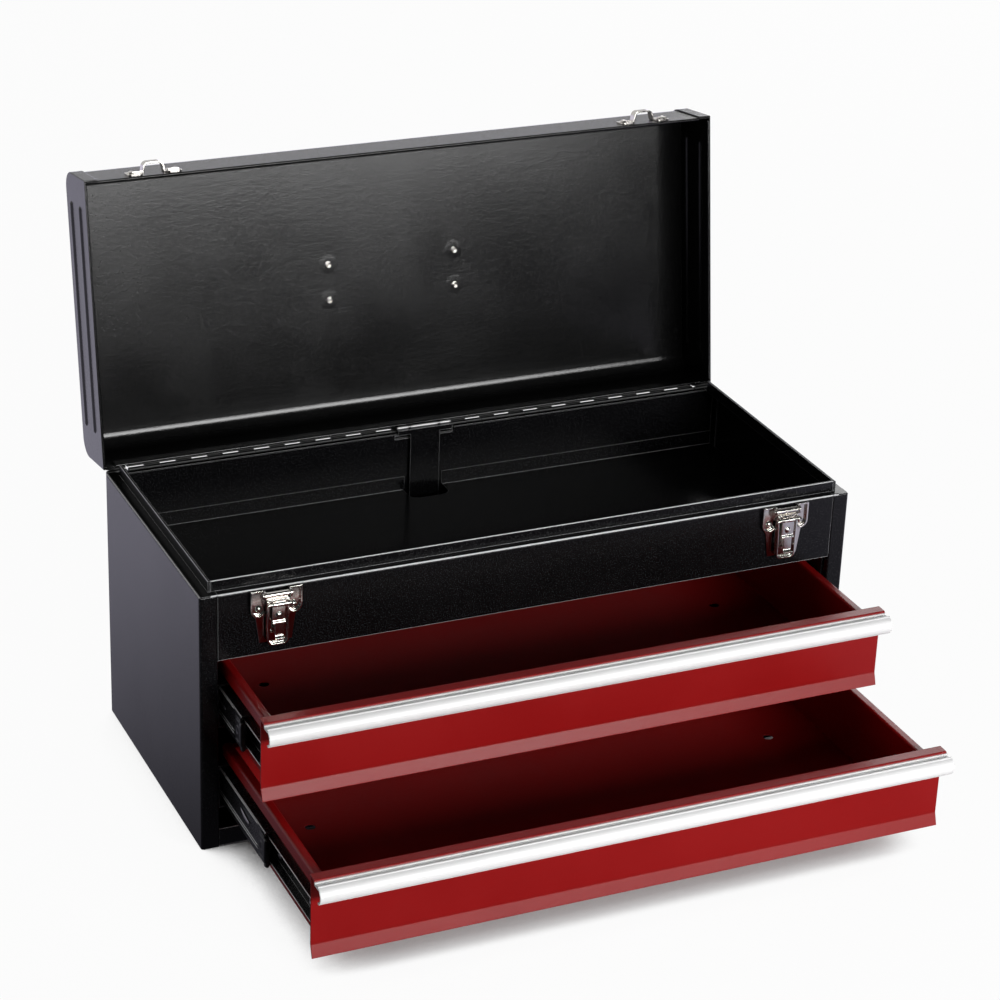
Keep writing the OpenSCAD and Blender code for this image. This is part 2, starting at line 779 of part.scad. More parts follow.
// Lever: a dished plate with a raised rim, rolled round the cross pin, that carries the hook's pin
module latch_lever(side) {
    w = lever_w - 0.2;
    bore = latch_pin_d / 2 + pin_clear;
    roll = bore + 1.1;
    cheek = 1.7;
    color(nickel) latch_place(side) difference() {
        union() {
            translate([-w / 2, latch_pin_f, 0]) rotate([0, 90, 0]) cylinder(r = roll, h = w);
            lever_plate(w, lever_f, lever_f + lever_t, 0);
            difference() {
                lever_plate(w, lever_f, lever_f + lever_rim + lever_t, 0);
                lever_plate(w, lever_f - 1, lever_f + 10, lever_t);
                block([-w, lever_f, -roll - 0.6], [w, lever_f + 10, 1]);
            }
            // Cheeks and the small pin of the hook
            for (s = [-1, 1]) mirrored(s) {
                translate([w / 2 - lever_t, hook_f, -hook_drop]) rotate([0, 90, 0])
                    cylinder(r = cheek, h = lever_t);
                block([w / 2 - lever_t, lever_f, -hook_drop - cheek], [w / 2, hook_f, -hook_drop + cheek]);
            }
            translate([-w / 2 + 0.1, hook_f, -hook_drop]) rotate([0, 90, 0])
                cylinder(d = hook_pin_d, h = w - 0.2);
        }
        translate([-w, latch_pin_f, 0]) rotate([0, 90, 0]) cylinder(r = bore, h = 2 * w);
    }
}

// Hook that hangs in the lever's dish, and swings up over the strike to pull the lid down
module latch_hook(side) {
    eye = hook_pin_d / 2 + pin_clear;
    eye_r = eye + 0.9;
    plate_t = 1;
    half = hook_w / 2;
    step = 13;
    color(nickel) latch_place(side) translate([0, hook_f, -hook_drop]) difference() {
        union() {
            translate([-half, 0, 0]) rotate([0, 90, 0]) cylinder(r = eye_r, h = hook_w);
            along_x_local(-half, half) folded([
                [-eye_r + plate_t, -0.2],
                [-eye_r + plate_t, -step, 1.2],
                [-eye_r + plate_t + 0.9, -step - 1.4, 1.2],
                [-eye_r + plate_t + 0.9, -hook_l, 1.2],
                [hook_catch, -hook_l]
            ], -plate_t);
            // Pressed dimple
            translate([0, -eye_r + plate_t, -9]) rotate([-90, 0, 0]) rivet_dome(5, 1);
        }
        translate([-hook_w, 0, 0]) rotate([0, 90, 0]) cylinder(r = eye, h = 2 * hook_w);
        // The tongue below the step is narrower
        for (s = [-1, 1]) mirrored(s)
            block([half - 1.6, -5, -hook_l - 2], [half + 1, 5, -step - 2.5]);
    }
}

// The lever's plate between two distances from the fascia, shrunk by g inside its edge
module lever_plate(w, f0, f1, g) {
    r = 4;
    tail = w * 0.94;
    translate([0, f1, 0]) rotate([90, 0, 0]) linear_extrude(f1 - f0) difference() {
        union() {
            polygon([[-w / 2 + g, 0], [-tail / 2 + g, -lever_l + r], [tail / 2 - g, -lever_l + r],
                     [w / 2 - g, 0]]);
            translate([-tail / 2 + r, -lever_l + g]) square([tail - 2 * r, r + 0.1]);
            for (s = [-1, 1]) translate([s * (tail / 2 - r), -lever_l + r]) circle(r - g);
        }
        if (g > 0) translate([-w, -4.5]) square([2 * w, 10]);
    }
}

// Strike on the lid's front: two riveted flanges joined by a raised bridge
module strike_place(side) {
    on_lid() translate([side * latch_x, -hd, case_h]) mirror([0, 1, 0]) children();
}

// The bridge's upper edge is what the hook catches
module strike(side) {
    foot = 4;
    inner = bridge_w / 2 + latch_t;
    flange_w = strike_w / 2 - inner;
    lip_f = 3.4;
    color(nickel) strike_place(side) {
        translate([0, 0, bridge_low]) linear_extrude(bridge_h) folded([
            [-inner - foot, 0],
            [-bridge_w / 2, 0, 1.4],
            [-bridge_w / 2 + 1.6, bridge_f, 3],
            [bridge_w / 2 - 1.6, bridge_f, 3],
            [bridge_w / 2, 0, 1.4],
            [inner + foot, 0]
        ], latch_t);
        for (s = [-1, 1]) mirrored(s) {
            translate([inner, 0, strike_low]) rotate([90, 0, 0]) mirror([0, 0, 1])
                linear_extrude(latch_t) difference() {
                    rounded_rect(flange_w, strike_flange, 3);
                    translate([strike_rivet_x - inner, strike_rivet_z - strike_low]) circle(d = 3);
                }
            // Turned-up front edge of each flange
            block([inner + 0.4, latch_t - 0.1, strike_low], [inner + flange_w - 3, lip_f, strike_low + 1.1]);
        }
    }
}

module strike_rivets() {
    color(nickel) for (side = [-1, 1]) strike_place(side)
        for (s = [-1, 1]) translate([s * strike_rivet_x, 0, strike_rivet_z]) rotate([-90, 0, 0]) {
            cylinder(d = 3, h = latch_t + 0.4);
            translate([0, 0, latch_t]) rivet_dome(6, 1.7);
        }
}

// ---------------------------------------------------------------- drawers

module pulled(i) {
    translate([0, -pulls[i], drawer_z[i]]) children();
}

// Four walls with a flange turned out and down along the sides, and the catch for the lock bar
module drawer_body(i) {
    top = front_h - wall_drop;
    front = -hd + sheet;
    back = -hd + drawer_l;
    base = floor_rise - sheet;
    color(red) pulled(i) {
        for (side = [-1, 1]) mirrored(side) along_y(front, back) folded([
            [body_hw, base + sheet],
            [body_hw, top, 1],
            [body_hw + flange_out, top, 1.3],
            [body_hw + flange_out, top - flange_lip]
        ], sheet);
        block([-body_hw + sheet / 2, front, base + sheet], [body_hw - sheet / 2, front + sheet, top + 1]);
        along_x(-body_hw + sheet / 2, body_hw - sheet / 2) folded([
            [back, base + sheet], [back, top, 1], [back - 6, top]
        ], sheet);
        translate([0, 0, catch_rise]) along_x(-catch_w / 2, catch_w / 2) folded([
            [back - 0.2, 0], [back + catch_reach, 0, 1.3], [back + catch_reach, catch_lip + sheet]
        ], sheet);
    }
}

// The bottom pan laps up round the outside of the walls
module drawer_pan(i) {
    front = -hd + 2 * sheet;
    back = -hd + drawer_l;
    base = floor_rise - sheet;
    color(red) pulled(i) difference() {
        union() {
            along_y(front, back) folded([
                [-body_hw - sheet, base + pan_rim],
                [-body_hw - sheet, base, 1.3],
                [body_hw + sheet, base, 1.3],
                [body_hw + sheet, base + pan_rim]
            ], sheet);
            block([-body_hw - sheet / 2, back, base + sheet / 2],
                  [body_hw + sheet / 2, back + sheet, base + pan_rim]);
            block([-body_hw + sheet, back - sheet, base], [body_hw - sheet, back + sheet, base + sheet]);
        }
        for (x = [-pan_hole_x, pan_hole_x]) translate([x, -hd + pan_hole_back, -1])
            cylinder(d = pan_hole_d, h = 6);
    }
}

// Front face with a flared foot, and a top flange that reaches back over the body and out to the strip
module drawer_front(i) {
    flare = 3.1;
    flare_h = 9.3;
    back_reach = 3;
    out = 6;
    color(red) pulled(i) {
        along_x(-front_hw, front_hw) folded([
            [-hd - flare, 0],
            [-hd, flare_h, 1.8],
            [-hd, front_h - sheet / 2]
        ], -sheet);
        along_x(-front_hw, front_hw) folded([
            [-hd - out, front_h - 3],
            [-hd - out, front_h, 1.3],
            [-hd + back_reach, front_h]
        ], -sheet);
    }
}

// Extruded aluminium finger pull: a grooved top leg and a bulged blade that is open behind
module pull_strip(i) {
    leg_f = 6;
    wall = 1.2;
    top_f = 12.5;
    foot_f = 14.5;
    lip_show = 1.4;
    top = front_h - lip_show;
    foot = top - strip_h;
    sagitta = strip_reach - (top_f + foot_f) / 2;
    chord = norm([foot_f - top_f, strip_h]);
    r = (chord * chord / 4 + sagitta * sagitta) / (2 * sagitta);
    normal = unit([strip_h, foot_f - top_f]);
    centre = [(top_f + foot_f) / 2, (top + foot) / 2] - normal * (r - sagitta);
    color(bright) pulled(i) along_x(-front_hw, front_hw) translate([-hd, 0]) mirror([1, 0]) {
        intersection() {
            translate(centre) difference() {
                circle(r, $fn = 128);
                circle(r - wall, $fn = 128);
            }
            polygon([centre, centre + 4 * ([top_f, top] - centre), centre + 40 * normal,
                     centre + 4 * ([foot_f, foot] - centre)]);
        }
        // Curled edges
        translate([top_f - 0.2, top - 0.5]) circle(1, $fn = 32);
        translate([foot_f - 0.8, foot + 0.3]) circle(1, $fn = 32);
        // Grooved top web and the leg against the drawer's lip
        translate([leg_f, top - 2.2]) square([wall, 2.4]);
        translate([leg_f, top - 2.2]) square([top_f - leg_f, 1]);
        translate([top_f - 1.4, top - 2.2]) square([1.4, 2]);
    }
}

// ---------------------------------------------------------------- slides

// A channel that opens towards -x: its back is at x = x1, its flanges reach to x0
module rail_section(x0, x1, h) {
    folded([
        [x0, -h / 2],
        [x1, -h / 2, 1.4],
        [x1, h / 2, 1.4],
        [x0, h / 2]
    ], rail_t);
}

module slide_part(i, side, shift) {
    translate([0, slide_y + shift, drawer_z[i] + slide_rise]) mirrored(side) children();
}

module case_rail(i, side) {
    color(rail_black) slide_part(i, side, 0) along_y(0, slide_l)
        rail_section(slide_x - 8.4, slide_x, slide_h);
}

module middle_rail(i, side) {
    color(rail_black) slide_part(i, side, -pulls[i] / 2) along_y(0, slide_l)
        rail_section(body_hw + 1.9, slide_x - 2.9, middle_h);
}

// The drawer's own rail opens away from the drawer, and lies on its wall
module drawer_rail(i, side) {
    color(rail_steel) slide_part(i, side, -pulls[i]) along_y(0, slide_l) translate([2 * body_hw + 6.9, 0])
        mirror([1, 0]) rail_section(body_hw, body_hw + 6.9, inner_h);
}

// Two rows of balls in a pressed cage, left and right
module ball_cages(i, share, x, gap_low) {
    balls = 6;
    strip_t = 0.8;
    strip_w = 1.2;
    for (side = [-1, 1]) slide_part(i, side, cage_front - pulls[i] * share) for (s = [-1, 1]) {
        z = s * (gap_low + race / 2);
        for (k = [0 : balls - 1])
            color(bright) translate([x, cage_l * (k + 0.5) / balls, z]) sphere(d = ball_d, $fn = 24);
        color(rail_steel)
            block([x - strip_w / 2, 0, z - strip_t / 2], [x + strip_w / 2, cage_l, z + strip_t / 2]);
    }
}

module inner_ball_cages(i) {
    ball_cages(i, 0.75, body_hw + 4.6, inner_h / 2);
}

module outer_ball_cages(i) {
    ball_cages(i, 0.25, slide_x - 5.2, middle_h / 2);
}

// ---------------------------------------------------------------- drawer lock

// Bar pressed down by the closing lid; its fingers drop behind the drawers' catches
module lock_bar() {
    top = case_h + bar_rise;
    tab_reach = hd - bar_y - 0.5;
    color(black) {
        block([-bar_w / 2, bar_y, bar_foot_z], [bar_w / 2, bar_y + bar_t, top - 4]);
        block([-bar_tab_w / 2, bar_y, top - 4.01], [bar_tab_w / 2, bar_y + bar_t, top - bar_t]);
        block([-bar_tab_w / 2, bar_y, top - bar_t - 0.01], [bar_tab_w / 2, bar_y + tab_reach, top]);
        for (i = [0, 1]) {
            catch_y = -hd + drawer_l + catch_reach;
            z = drawer_z[i] + catch_rise + sheet + catch_lip + finger_clear + finger_tip;
            translate([0, 0, z]) along_x(-catch_w / 2 + 2, catch_w / 2 - 2) folded([
                [bar_y + 0.1, bar_t],
                [catch_y - 5, bar_t, 1.6],
                [catch_y - 5, -finger_tip]
            ], bar_t);
        }
    }
}

// Straps on the back panel that guide the bar
module lock_guides() {
    inner_hw = bar_w / 2 + bar_room;
    face = bar_y - 0.5;
    foot = 8;
    guide_h = 12;
    back = hd - sheet;
    color(black) for (z = [drawer_z[0] + 14, drawer_z[1] + 14]) along_z(z, z + guide_h) folded([
        [-inner_hw - foot, back - sheet],
        [-inner_hw - sheet, back - sheet, 0.5],
        [-inner_hw - sheet, face - sheet, 1.3],
        [inner_hw + sheet, face - sheet, 1.3],
        [inner_hw + sheet, back - sheet, 0.5],
        [inner_hw + foot, back - sheet]
    ], sheet);
}

// ---------------------------------------------------------------- assembly

side_panel(-1);  // left_side_panel
side_panel(1);  // right_side_panel
back_panel();
bottom_panel();
front_fascia();
tray_floor();
slide_carrier(-1);  // left_slide_carrier
slide_carrier(1);  // right_slide_carrier
case_hinge_leaf();
hinge_pin();
lock_guides();
latch_base(-1);  // left_latch_base
latch_base(1);  // right_latch_base
latch_pin(-1);  // left_latch_pin
latch_pin(1);  // right_latch_pin
latch_rivets();
latch_lever(-1);  // left_latch_lever
latch_lever(1);  // right_latch_lever
latch_hook(-1);  // left_latch_hook
latch_hook(1);  // right_latch_hook
lock_bar();
lid_shell();
lid_end(-1);  // left_lid_end
lid_end(1);  // right_lid_end
lid_hinge_leaf();
strike(-1);  // left_strike
strike(1);  // right_strike
strike_rivets();
handle_brackets();
handle_rivets();
handle_bail();
handle_grip();
drawer_body(1);  // upper_drawer_body
drawer_pan(1);  // upper_drawer_pan
drawer_front(1);  // upper_drawer_front
pull_strip(1);  // upper_pull_strip
drawer_rail(1, -1);  // upper_left_drawer_rail
drawer_rail(1, 1);  // upper_right_drawer_rail
middle_rail(1, -1);  // upper_left_middle_rail
middle_rail(1, 1);  // upper_right_middle_rail
case_rail(1, -1);  // upper_left_case_rail
case_rail(1, 1);  // upper_right_case_rail
inner_ball_cages(1);  // upper_inner_ball_cages
outer_ball_cages(1);  // upper_outer_ball_cages
drawer_body(0);  // lower_drawer_body
drawer_pan(0);  // lower_drawer_pan
drawer_front(0);  // lower_drawer_front
pull_strip(0);  // lower_pull_strip
drawer_rail(0, -1);  // lower_left_drawer_rail
drawer_rail(0, 1);  // lower_right_drawer_rail
middle_rail(0, -1);  // lower_left_middle_rail
middle_rail(0, 1);  // lower_right_middle_rail
case_rail(0, -1);  // lower_left_case_rail
case_rail(0, 1);  // lower_right_case_rail
inner_ball_cages(0);  // lower_inner_ball_cages
outer_ball_cages(0);  // lower_outer_ball_cages
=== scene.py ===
"""Looks of a portable steel tool box with two drawers: finishes, small fittings, light and camera."""

import logging
import math
from dataclasses import dataclass, field
from enum import Enum
from typing import Callable, Dict, List, Mapping, Optional, Sequence, Tuple, Union

import bpy
import numpy as np
from mathutils import Matrix, Vector

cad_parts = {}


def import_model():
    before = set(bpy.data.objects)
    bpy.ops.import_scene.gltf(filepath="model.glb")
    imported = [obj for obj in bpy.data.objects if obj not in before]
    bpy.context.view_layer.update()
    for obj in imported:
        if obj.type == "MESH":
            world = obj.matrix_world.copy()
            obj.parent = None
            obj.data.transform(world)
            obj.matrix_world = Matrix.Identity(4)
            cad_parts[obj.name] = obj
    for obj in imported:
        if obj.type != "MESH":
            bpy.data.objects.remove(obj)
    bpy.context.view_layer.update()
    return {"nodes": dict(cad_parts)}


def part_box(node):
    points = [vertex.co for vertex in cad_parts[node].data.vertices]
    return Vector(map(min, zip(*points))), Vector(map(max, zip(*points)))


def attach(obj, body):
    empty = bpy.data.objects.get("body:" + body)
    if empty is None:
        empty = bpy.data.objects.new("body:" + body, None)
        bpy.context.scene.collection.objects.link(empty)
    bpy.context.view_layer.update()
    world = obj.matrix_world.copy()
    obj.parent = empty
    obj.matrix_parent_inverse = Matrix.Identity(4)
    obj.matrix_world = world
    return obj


LOG = logging.getLogger("tool_box")

Colour = Tuple[float, float, float]
Point = Tuple[float, float, float]
Pair = Tuple[float, float]
Value = Union["Signal", float, Sequence[float]]
Mesh = Tuple[np.ndarray, np.ndarray]

MM = 0.001
WHITE: Colour = (1.0, 1.0, 1.0)
UPRIGHT: Point = (0.0, 0.0, 1.0)
BACKWARD: Point = (0.0, 1.0, 0.0)


class Side(Enum):
    """Left and right of the box, as the sign of x."""

    LEFT = -1
    RIGHT = 1

    @property
    def word(self) -> str:
        """The side's name as the CAD nodes write it."""
        return self.name.lower()

    @property
    def outward(self) -> Point:
        """The direction out of the box on this side."""
        return (float(self.value), 0.0, 0.0)


class Level(Enum):
    """The two drawers, lower first."""

    LOWER = "lower"
    UPPER = "upper"


# ------------------------------------------------------------------ shader writing


class Signal:
    """One output of a material's nodes. Arithmetic on it adds Math nodes."""

    def __init__(self, graph: "Graph", socket: bpy.types.NodeSocket) -> None:
        """Wraps the socket of a node in graph."""
        self.graph = graph
        self.socket = socket

    def _math(self, operation: str, *values: Value) -> "Signal":
        """The result of one Math node on the values."""
        return self.graph.node("ShaderNodeMath", {"operation": operation}, dict(enumerate(values)))

    def __add__(self, other: Value) -> "Signal":
        """self + other."""
        return self._math("ADD", self, other)

    def __radd__(self, other: Value) -> "Signal":
        """other + self."""
        return self._math("ADD", other, self)

    def __sub__(self, other: Value) -> "Signal":
        """self - other."""
        return self._math("SUBTRACT", self, other)

    def __rsub__(self, other: Value) -> "Signal":
        """other - self."""
        return self._math("SUBTRACT", other, self)

    def __mul__(self, other: Value) -> "Signal":
        """self * other."""
        return self._math("MULTIPLY", self, other)

    def __rmul__(self, other: Value) -> "Signal":
        """other * self."""
        return self._math("MULTIPLY", other, self)

    def larger(self, other: Value) -> "Signal":
        """The larger of self and other."""
        return self._math("MAXIMUM", self, other)

    def step(self, low: float, high: float) -> "Signal":
        """Rises smoothly from 0 to 1.

        Args:
            low: the value up to which the result is 0.
            high: the value from which it is 1.

        Returns:
            The risen signal.
        """
        return self.graph.node(
            "ShaderNodeMapRange",
            {"interpolation_type": "SMOOTHSTEP"},
            {"Value": self, "From Min": low, "From Max": high},
        )


class Graph:
    """The nodes of one material, or of another node tree.

    EDGE_LEAN is the range over which a normal's lean counts as an edge, BEND_LEAN that over which it
    counts as the middle of a bend, and BEND_LEVEL that over which such a bend counts as a level one.
    """

    EDGE_LEAN: Pair = (0.02, 0.22)
    BEND_LEAN: Pair = (0.14, 0.22)
    BEND_LEVEL: Pair = (0.45, 0.6)

    def __init__(self, name: str, tree: Optional[bpy.types.NodeTree] = None) -> None:
        """Empties the tree, or starts a material where there is none.

        Args:
            name: what a new material is called.
            tree: the node tree to write in, if it isn't a new material's.
        """
        if tree is None:
            self.material = bpy.data.materials.new(name)
            self.material.use_nodes = True
            tree = self.material.node_tree
        self.tree = tree
        self.tree.nodes.clear()

    @staticmethod
    def _socket(sockets: bpy.types.bpy_prop_collection, key: Union[int, str]) -> bpy.types.NodeSocket:
        """The socket with that index, identifier or name."""
        named = (socket for socket in sockets if key in (socket.identifier, socket.name))
        return sockets[key] if isinstance(key, int) else next(named)

    def node(
        self,
        kind: str,
        settings: Optional[Mapping[str, object]] = None,
        inputs: Optional[Mapping[Union[int, str], Value]] = None,
        output: Union[int, str, None] = 0,
    ) -> Optional[Signal]:
        """Adds any node.

        Args:
            kind: the node's type.
            settings: its own settings, set first.
            inputs: values or signals for its input sockets, by index, identifier or name.
            output: the output socket wanted, or None for a node that has none.

        Returns:
            That output as a Signal.
        """
        made = self.tree.nodes.new(kind)
        for key, value in (settings or {}).items():
            setattr(made, key, value)
        for key, value in (inputs or {}).items():
            target = self._socket(made.inputs, key)
            if isinstance(value, Signal):
                self.tree.links.new(value.socket, target)
            elif target.type == "RGBA" and len(value) == 3:
                target.default_value = (*value, 1.0)
            else:
                target.default_value = value
        return None if output is None else Signal(self, self._socket(made.outputs, output))

    def rays(self, *kinds: str) -> List[Signal]:
        """For each kind of ray, a signal that is 1 on such a ray."""
        return [self.node("ShaderNodeLightPath", output=f"Is {kind} Ray") for kind in kinds]

    def place(self) -> Signal:
        """Object coordinates, which are metres in the box's own frame."""
        return self.node("ShaderNodeTexCoord", output="Object")

    def plain_normal(self) -> Signal:
        """The surface's own normal."""
        return self.node("ShaderNodeNewGeometry", output="Normal")

    def dot(self, one: Value, other: Value) -> Signal:
        """The dot product of two vectors."""
        product = {"operation": "DOT_PRODUCT"}
        return self.node("ShaderNodeVectorMath", product, {0: one, 1: other}, "Value")

    def parts(self, vector: Signal) -> List[Signal]:
        """The x, y and z of a vector."""
        return [self.node("ShaderNodeSeparateXYZ", {}, {0: vector}, axis) for axis in "XYZ"]

    def stretched(self, scale: Point) -> Signal:
        """Object coordinates multiplied by scale, so that a pattern differs in size along each axis."""
        return self.node("ShaderNodeMapping", {}, {"Vector": self.place(), "Scale": scale})

    def noise(self, per_metre: float, detail: float, vector: Optional[Signal] = None) -> Signal:
        """Smooth noise about 0.5.

        Args:
            per_metre: waves to the metre.
            detail: how many finer layers lie on it.
            vector: where it is read, if not at the object coordinates.

        Returns:
            The noise.
        """
        where = vector or self.place()
        inputs = {"Vector": where, "Scale": per_metre, "Detail": detail, "Roughness": 0.55}
        return self.node("ShaderNodeTexNoise", {}, inputs)

    def mix(self, low: Value, high: Value, share: Value) -> Signal:
        """The colour between low and high at share."""
        inputs = {"Factor_Float": share, "A_Color": low, "B_Color": high}
        return self.node("ShaderNodeMix", {"data_type": "RGBA"}, inputs, "Result_Color")

    def soft_normal(self, radius: float) -> Signal:
        """The surface's normal with its edges rounded to that radius, in metres."""
        return self.node("ShaderNodeBevel", {"samples": 6}, {"Radius": radius})

    def open_sky(self, reach: float) -> Signal:
        """Near 1 where nothing lies within that reach of the surface, and near 0 in a crease."""
        return self.node("ShaderNodeAmbientOcclusion", {"samples": 8}, {"Distance": reach}, "AO")

    def edge_share(self, soft: Signal) -> Signal:
        """Near 1 on edges and 0 on faces, from how far the rounded normal leans off the plain one."""
        return (1.0 - self.dot(soft, self.plain_normal())).step(*self.EDGE_LEAN)

    def fold_share(self) -> Signal:
        """Near 1 along the middle of a bend between an upright and a level sheet, and 0 on the sheets.

        A sheet's normal has one component near 1. Half way round a bend the largest component is 0.71,
        so the share is 1 minus the largest, scaled. It is nil where the bend's own axis is upright.

        Returns:
            The share.
        """
        size = self.node("ShaderNodeVectorMath", {"operation": "ABSOLUTE"}, {0: self.plain_normal()})
        x, y, z = self.parts(size)
        return (1.0 - x.larger(y).larger(z)).step(*self.BEND_LEAN) * z.step(*self.BEND_LEVEL)

    def bump(self, height: Signal, depth: float, normal: Signal) -> Signal:
        """A normal with relief.

        Args:
            height: the relief, in units of depth.
            depth: that unit, in metres.
            normal: the normal that the relief is laid over.

        Returns:
            The new normal.
        """
        inputs = {"Strength": 1.0, "Distance": depth, "Height": height, "Normal": normal}
        return self.node("ShaderNodeBump", {}, inputs)

    def surface(self, **inputs: Value) -> bpy.types.Material:
        """Finishes the material with a Principled shader.

        Args:
            **inputs: its sockets, with _ for the blanks in their names.

        Returns:
            The material.
        """
        named = {key.replace("_", " "): value for key, value in inputs.items()}
        return self.end(self.node("ShaderNodeBsdfPrincipled", {}, named))

    def end(self, shader: Signal) -> bpy.types.Material:
        """Leads a shader to the output and gives the material."""
        self.node("ShaderNodeOutputMaterial", {}, {"Surface": shader}, None)
        return self.material


# ------------------------------------------------------------------ finishes


@dataclass(frozen=True)
class PowderCoat:
    """Stoved powder paint on steel: orange peel, fine sand, a little dust, and thin painted highlights on
    its edges and bends.

    sand is how far the flecks turn to the edge colour, and the edge highlight share and fold how far the
    edges and the bends do, as a painted highlight. Waves are to the metre, depths are in metres, and a
    band is the range of a noise over which it takes hold.
    """

    name: str
    colour: Colour
    shade: Colour
    # Colour of the painted highlights on edges and bends, and of the sand flecks.
    edge: Colour
    roughness: float
    sand: float
    sand_depth: float = 0.04 * MM
    peel_depth: float = 0.05 * MM
    edge_radius: float = 0.7 * MM
    gloss: float = 0.4
    fold: float = 0.0
    edge_highlight: float = 0.4
    fleck_waves: float = 1150.0
    fleck_band: Pair = (0.55, 0.68)
    grain_waves: float = 1150.0
    peel_waves: float = 260.0
    cloud_waves: float = 9.0
    cloud_band: Pair = (0.3, 0.7)
    cloud_rough: float = 0.05
    grain_rough: float = 0.2
    edge_shine: float = 0.12
    relief: float = 0.1 * MM

    def material(self) -> bpy.types.Material:
        """Builds the paint's nodes.

        Returns:
            The material.
        """
        g = Graph(self.name)
        soft = g.soft_normal(self.edge_radius)
        edge = g.edge_share(soft)
        cloud = g.noise(self.cloud_waves, detail=4.0).step(*self.cloud_band)
        grain = g.noise(self.grain_waves, detail=2.0)
        fleck = g.noise(self.fleck_waves, detail=2.0).step(*self.fleck_band) * self.sand
        peel = g.noise(self.peel_waves, detail=1.0)
        # Painted highlight: edges and bends turn towards the edge colour; the sand flecks turn towards it
        # too.
        highlight_and_flecks = (edge * self.edge_highlight).larger(g.fold_share() * self.fold) + fleck
        height = peel * (self.peel_depth / self.relief) + grain * (self.sand_depth / self.relief)
        uneven = (cloud - 0.5) * self.cloud_rough + (grain - 0.5) * self.grain_rough
        return g.surface(
            Base_Color=g.mix(g.mix(self.shade, self.colour, cloud), self.edge, highlight_and_flecks),
            Roughness=self.roughness + uneven - edge * self.edge_shine,
            Normal=g.bump(height, self.relief, soft),
            Specular_IOR_Level=self.gloss,
        )


@dataclass(frozen=True)
class Plating:
    """Bright plated or bare metal, with rolling marks, handling haze and rounded edges.

    brush stretches the rolling marks along each axis. The crease shade share is how far the grooves,
    within its reach of another surface, darken to its colour: painted shade in the creases.
    """

    name: str
    colour: Colour
    haze: Colour
    roughness: float
    brush: Point = (1.0, 1.0, 1.0)
    brush_waves: float = 500.0
    brush_depth: float = 0.01 * MM
    brush_rough: float = 0.12
    edge_radius: float = 0.5 * MM
    metallic: float = 1.0
    film_waves: float = 60.0
    film_band: Pair = (0.35, 0.75)
    film_share: float = 0.6
    film_rough: float = 0.08
    soil: float = 0.0
    soil_colour: Colour = (0.05, 0.05, 0.05)
    soil_reach: float = 3.0 * MM
    soil_band: Pair = (0.35, 0.75)

    def material(self) -> bpy.types.Material:
        """Builds the metal's nodes.

        Returns:
            The material.
        """
        g = Graph(self.name)
        soft = g.soft_normal(self.edge_radius)
        marks = g.noise(self.brush_waves, detail=3.0, vector=g.stretched(self.brush))
        film = g.noise(self.film_waves, detail=4.0).step(*self.film_band)
        colour = g.mix(self.colour, self.haze, film * self.film_share)
        # Painted shade: grooves close to another surface darken towards a dark colour.
        if self.soil:
            groove = (1.0 - g.open_sky(self.soil_reach)).step(*self.soil_band)
            colour = g.mix(colour, self.soil_colour, groove * self.soil)
        return g.surface(
            Base_Color=colour,
            Metallic=self.metallic,
            Roughness=self.roughness + film * self.film_rough + (marks - 0.5) * self.brush_rough,
            Normal=g.bump(marks, self.brush_depth, soft),
        )


@dataclass(frozen=True)
class Moulding:
    """Moulded plastic with a fine even grain."""

    name: str
    colour: Colour
    shade: Colour
    roughness: float = 0.5
    edge_radius: float = 0.6 * MM
    grain_waves: float = 1800.0
    grain_depth: float = 0.04 * MM
    grain_rough: float = 0.2
    cloud_waves: float = 40.0
    cloud_band: Pair = (0.3, 0.7)

    def material(self) -> bpy.types.Material:
        """Builds the plastic's nodes.

        Returns:
            The material.
        """
        g = Graph(self.name)
        grain = g.noise(self.grain_waves, detail=2.0)
        cloud = g.noise(self.cloud_waves, detail=3.0).step(*self.cloud_band)
        return g.surface(
            Base_Color=g.mix(self.shade, self.colour, cloud),
            Roughness=self.roughness + (grain - 0.5) * self.grain_rough,
            Normal=g.bump(grain, self.grain_depth, g.soft_normal(self.edge_radius)),
        )


@dataclass(frozen=True)
class StudioFloor:
    """A pale matt floor with shadows, almost white to the camera. Near the box its shadows are partly
    painted shade from an occlusion mask.

    In reflections it is dim in front of the box and pale behind it and on its right.
    """

    name: str = "studio_floor"
    colour: Colour = (0.80, 0.80, 0.80)
    glow: float = 0.96
    cool: Colour = (0.85, 0.82, 1.0)
    front_glow: float = 0.03
    back_glow: float = 0.80
    back_side: Point = (-0.5, 0.87, 0.0)
    back_band: Pair = (-0.15, 0.75)
    right_glow: float = 0.8
    right_x: Pair = (0.2, 0.6)
    right_y: Pair = (-1.5, -0.6)
    shadow_reach: float = 0.06
    shadow_band: Pair = (0.22, 0.55)

    def material(self) -> bpy.types.Material:
        """Builds the floor's nodes.

        Returns:
            The material.
        """
        g = Graph(self.name)
        camera, glossy, through = g.rays("Camera", "Glossy", "Transmission")
        across, ahead, _ = g.parts(g.place())
        behind = g.dot(g.place(), self.back_side).step(*self.back_band)
        right = across.step(*self.right_x) * ahead.step(*self.right_y)
        reflected = self.front_glow + behind * self.back_glow + right * self.right_glow
        mirrored = glossy.larger(through)
        # Near and under the box, where the occlusion mask is low, the glow gives way to the matt floor:
        # partly its real shadow, partly painted shade.
        open_floor = g.open_sky(self.shadow_reach).step(*self.shadow_band)
        matt = g.node("ShaderNodeBsdfDiffuse", {}, {"Color": self.colour})
        tint = g.mix(self.cool, WHITE, camera)
        strength = (mirrored * reflected).larger(camera)
        pale = g.node("ShaderNodeEmission", {}, {"Color": tint, "Strength": strength})
        share = (camera * self.glow * open_floor).larger(mirrored)
        return g.end(g.node("ShaderNodeMixShader", {}, {0: share, 1: matt, 2: pale}))


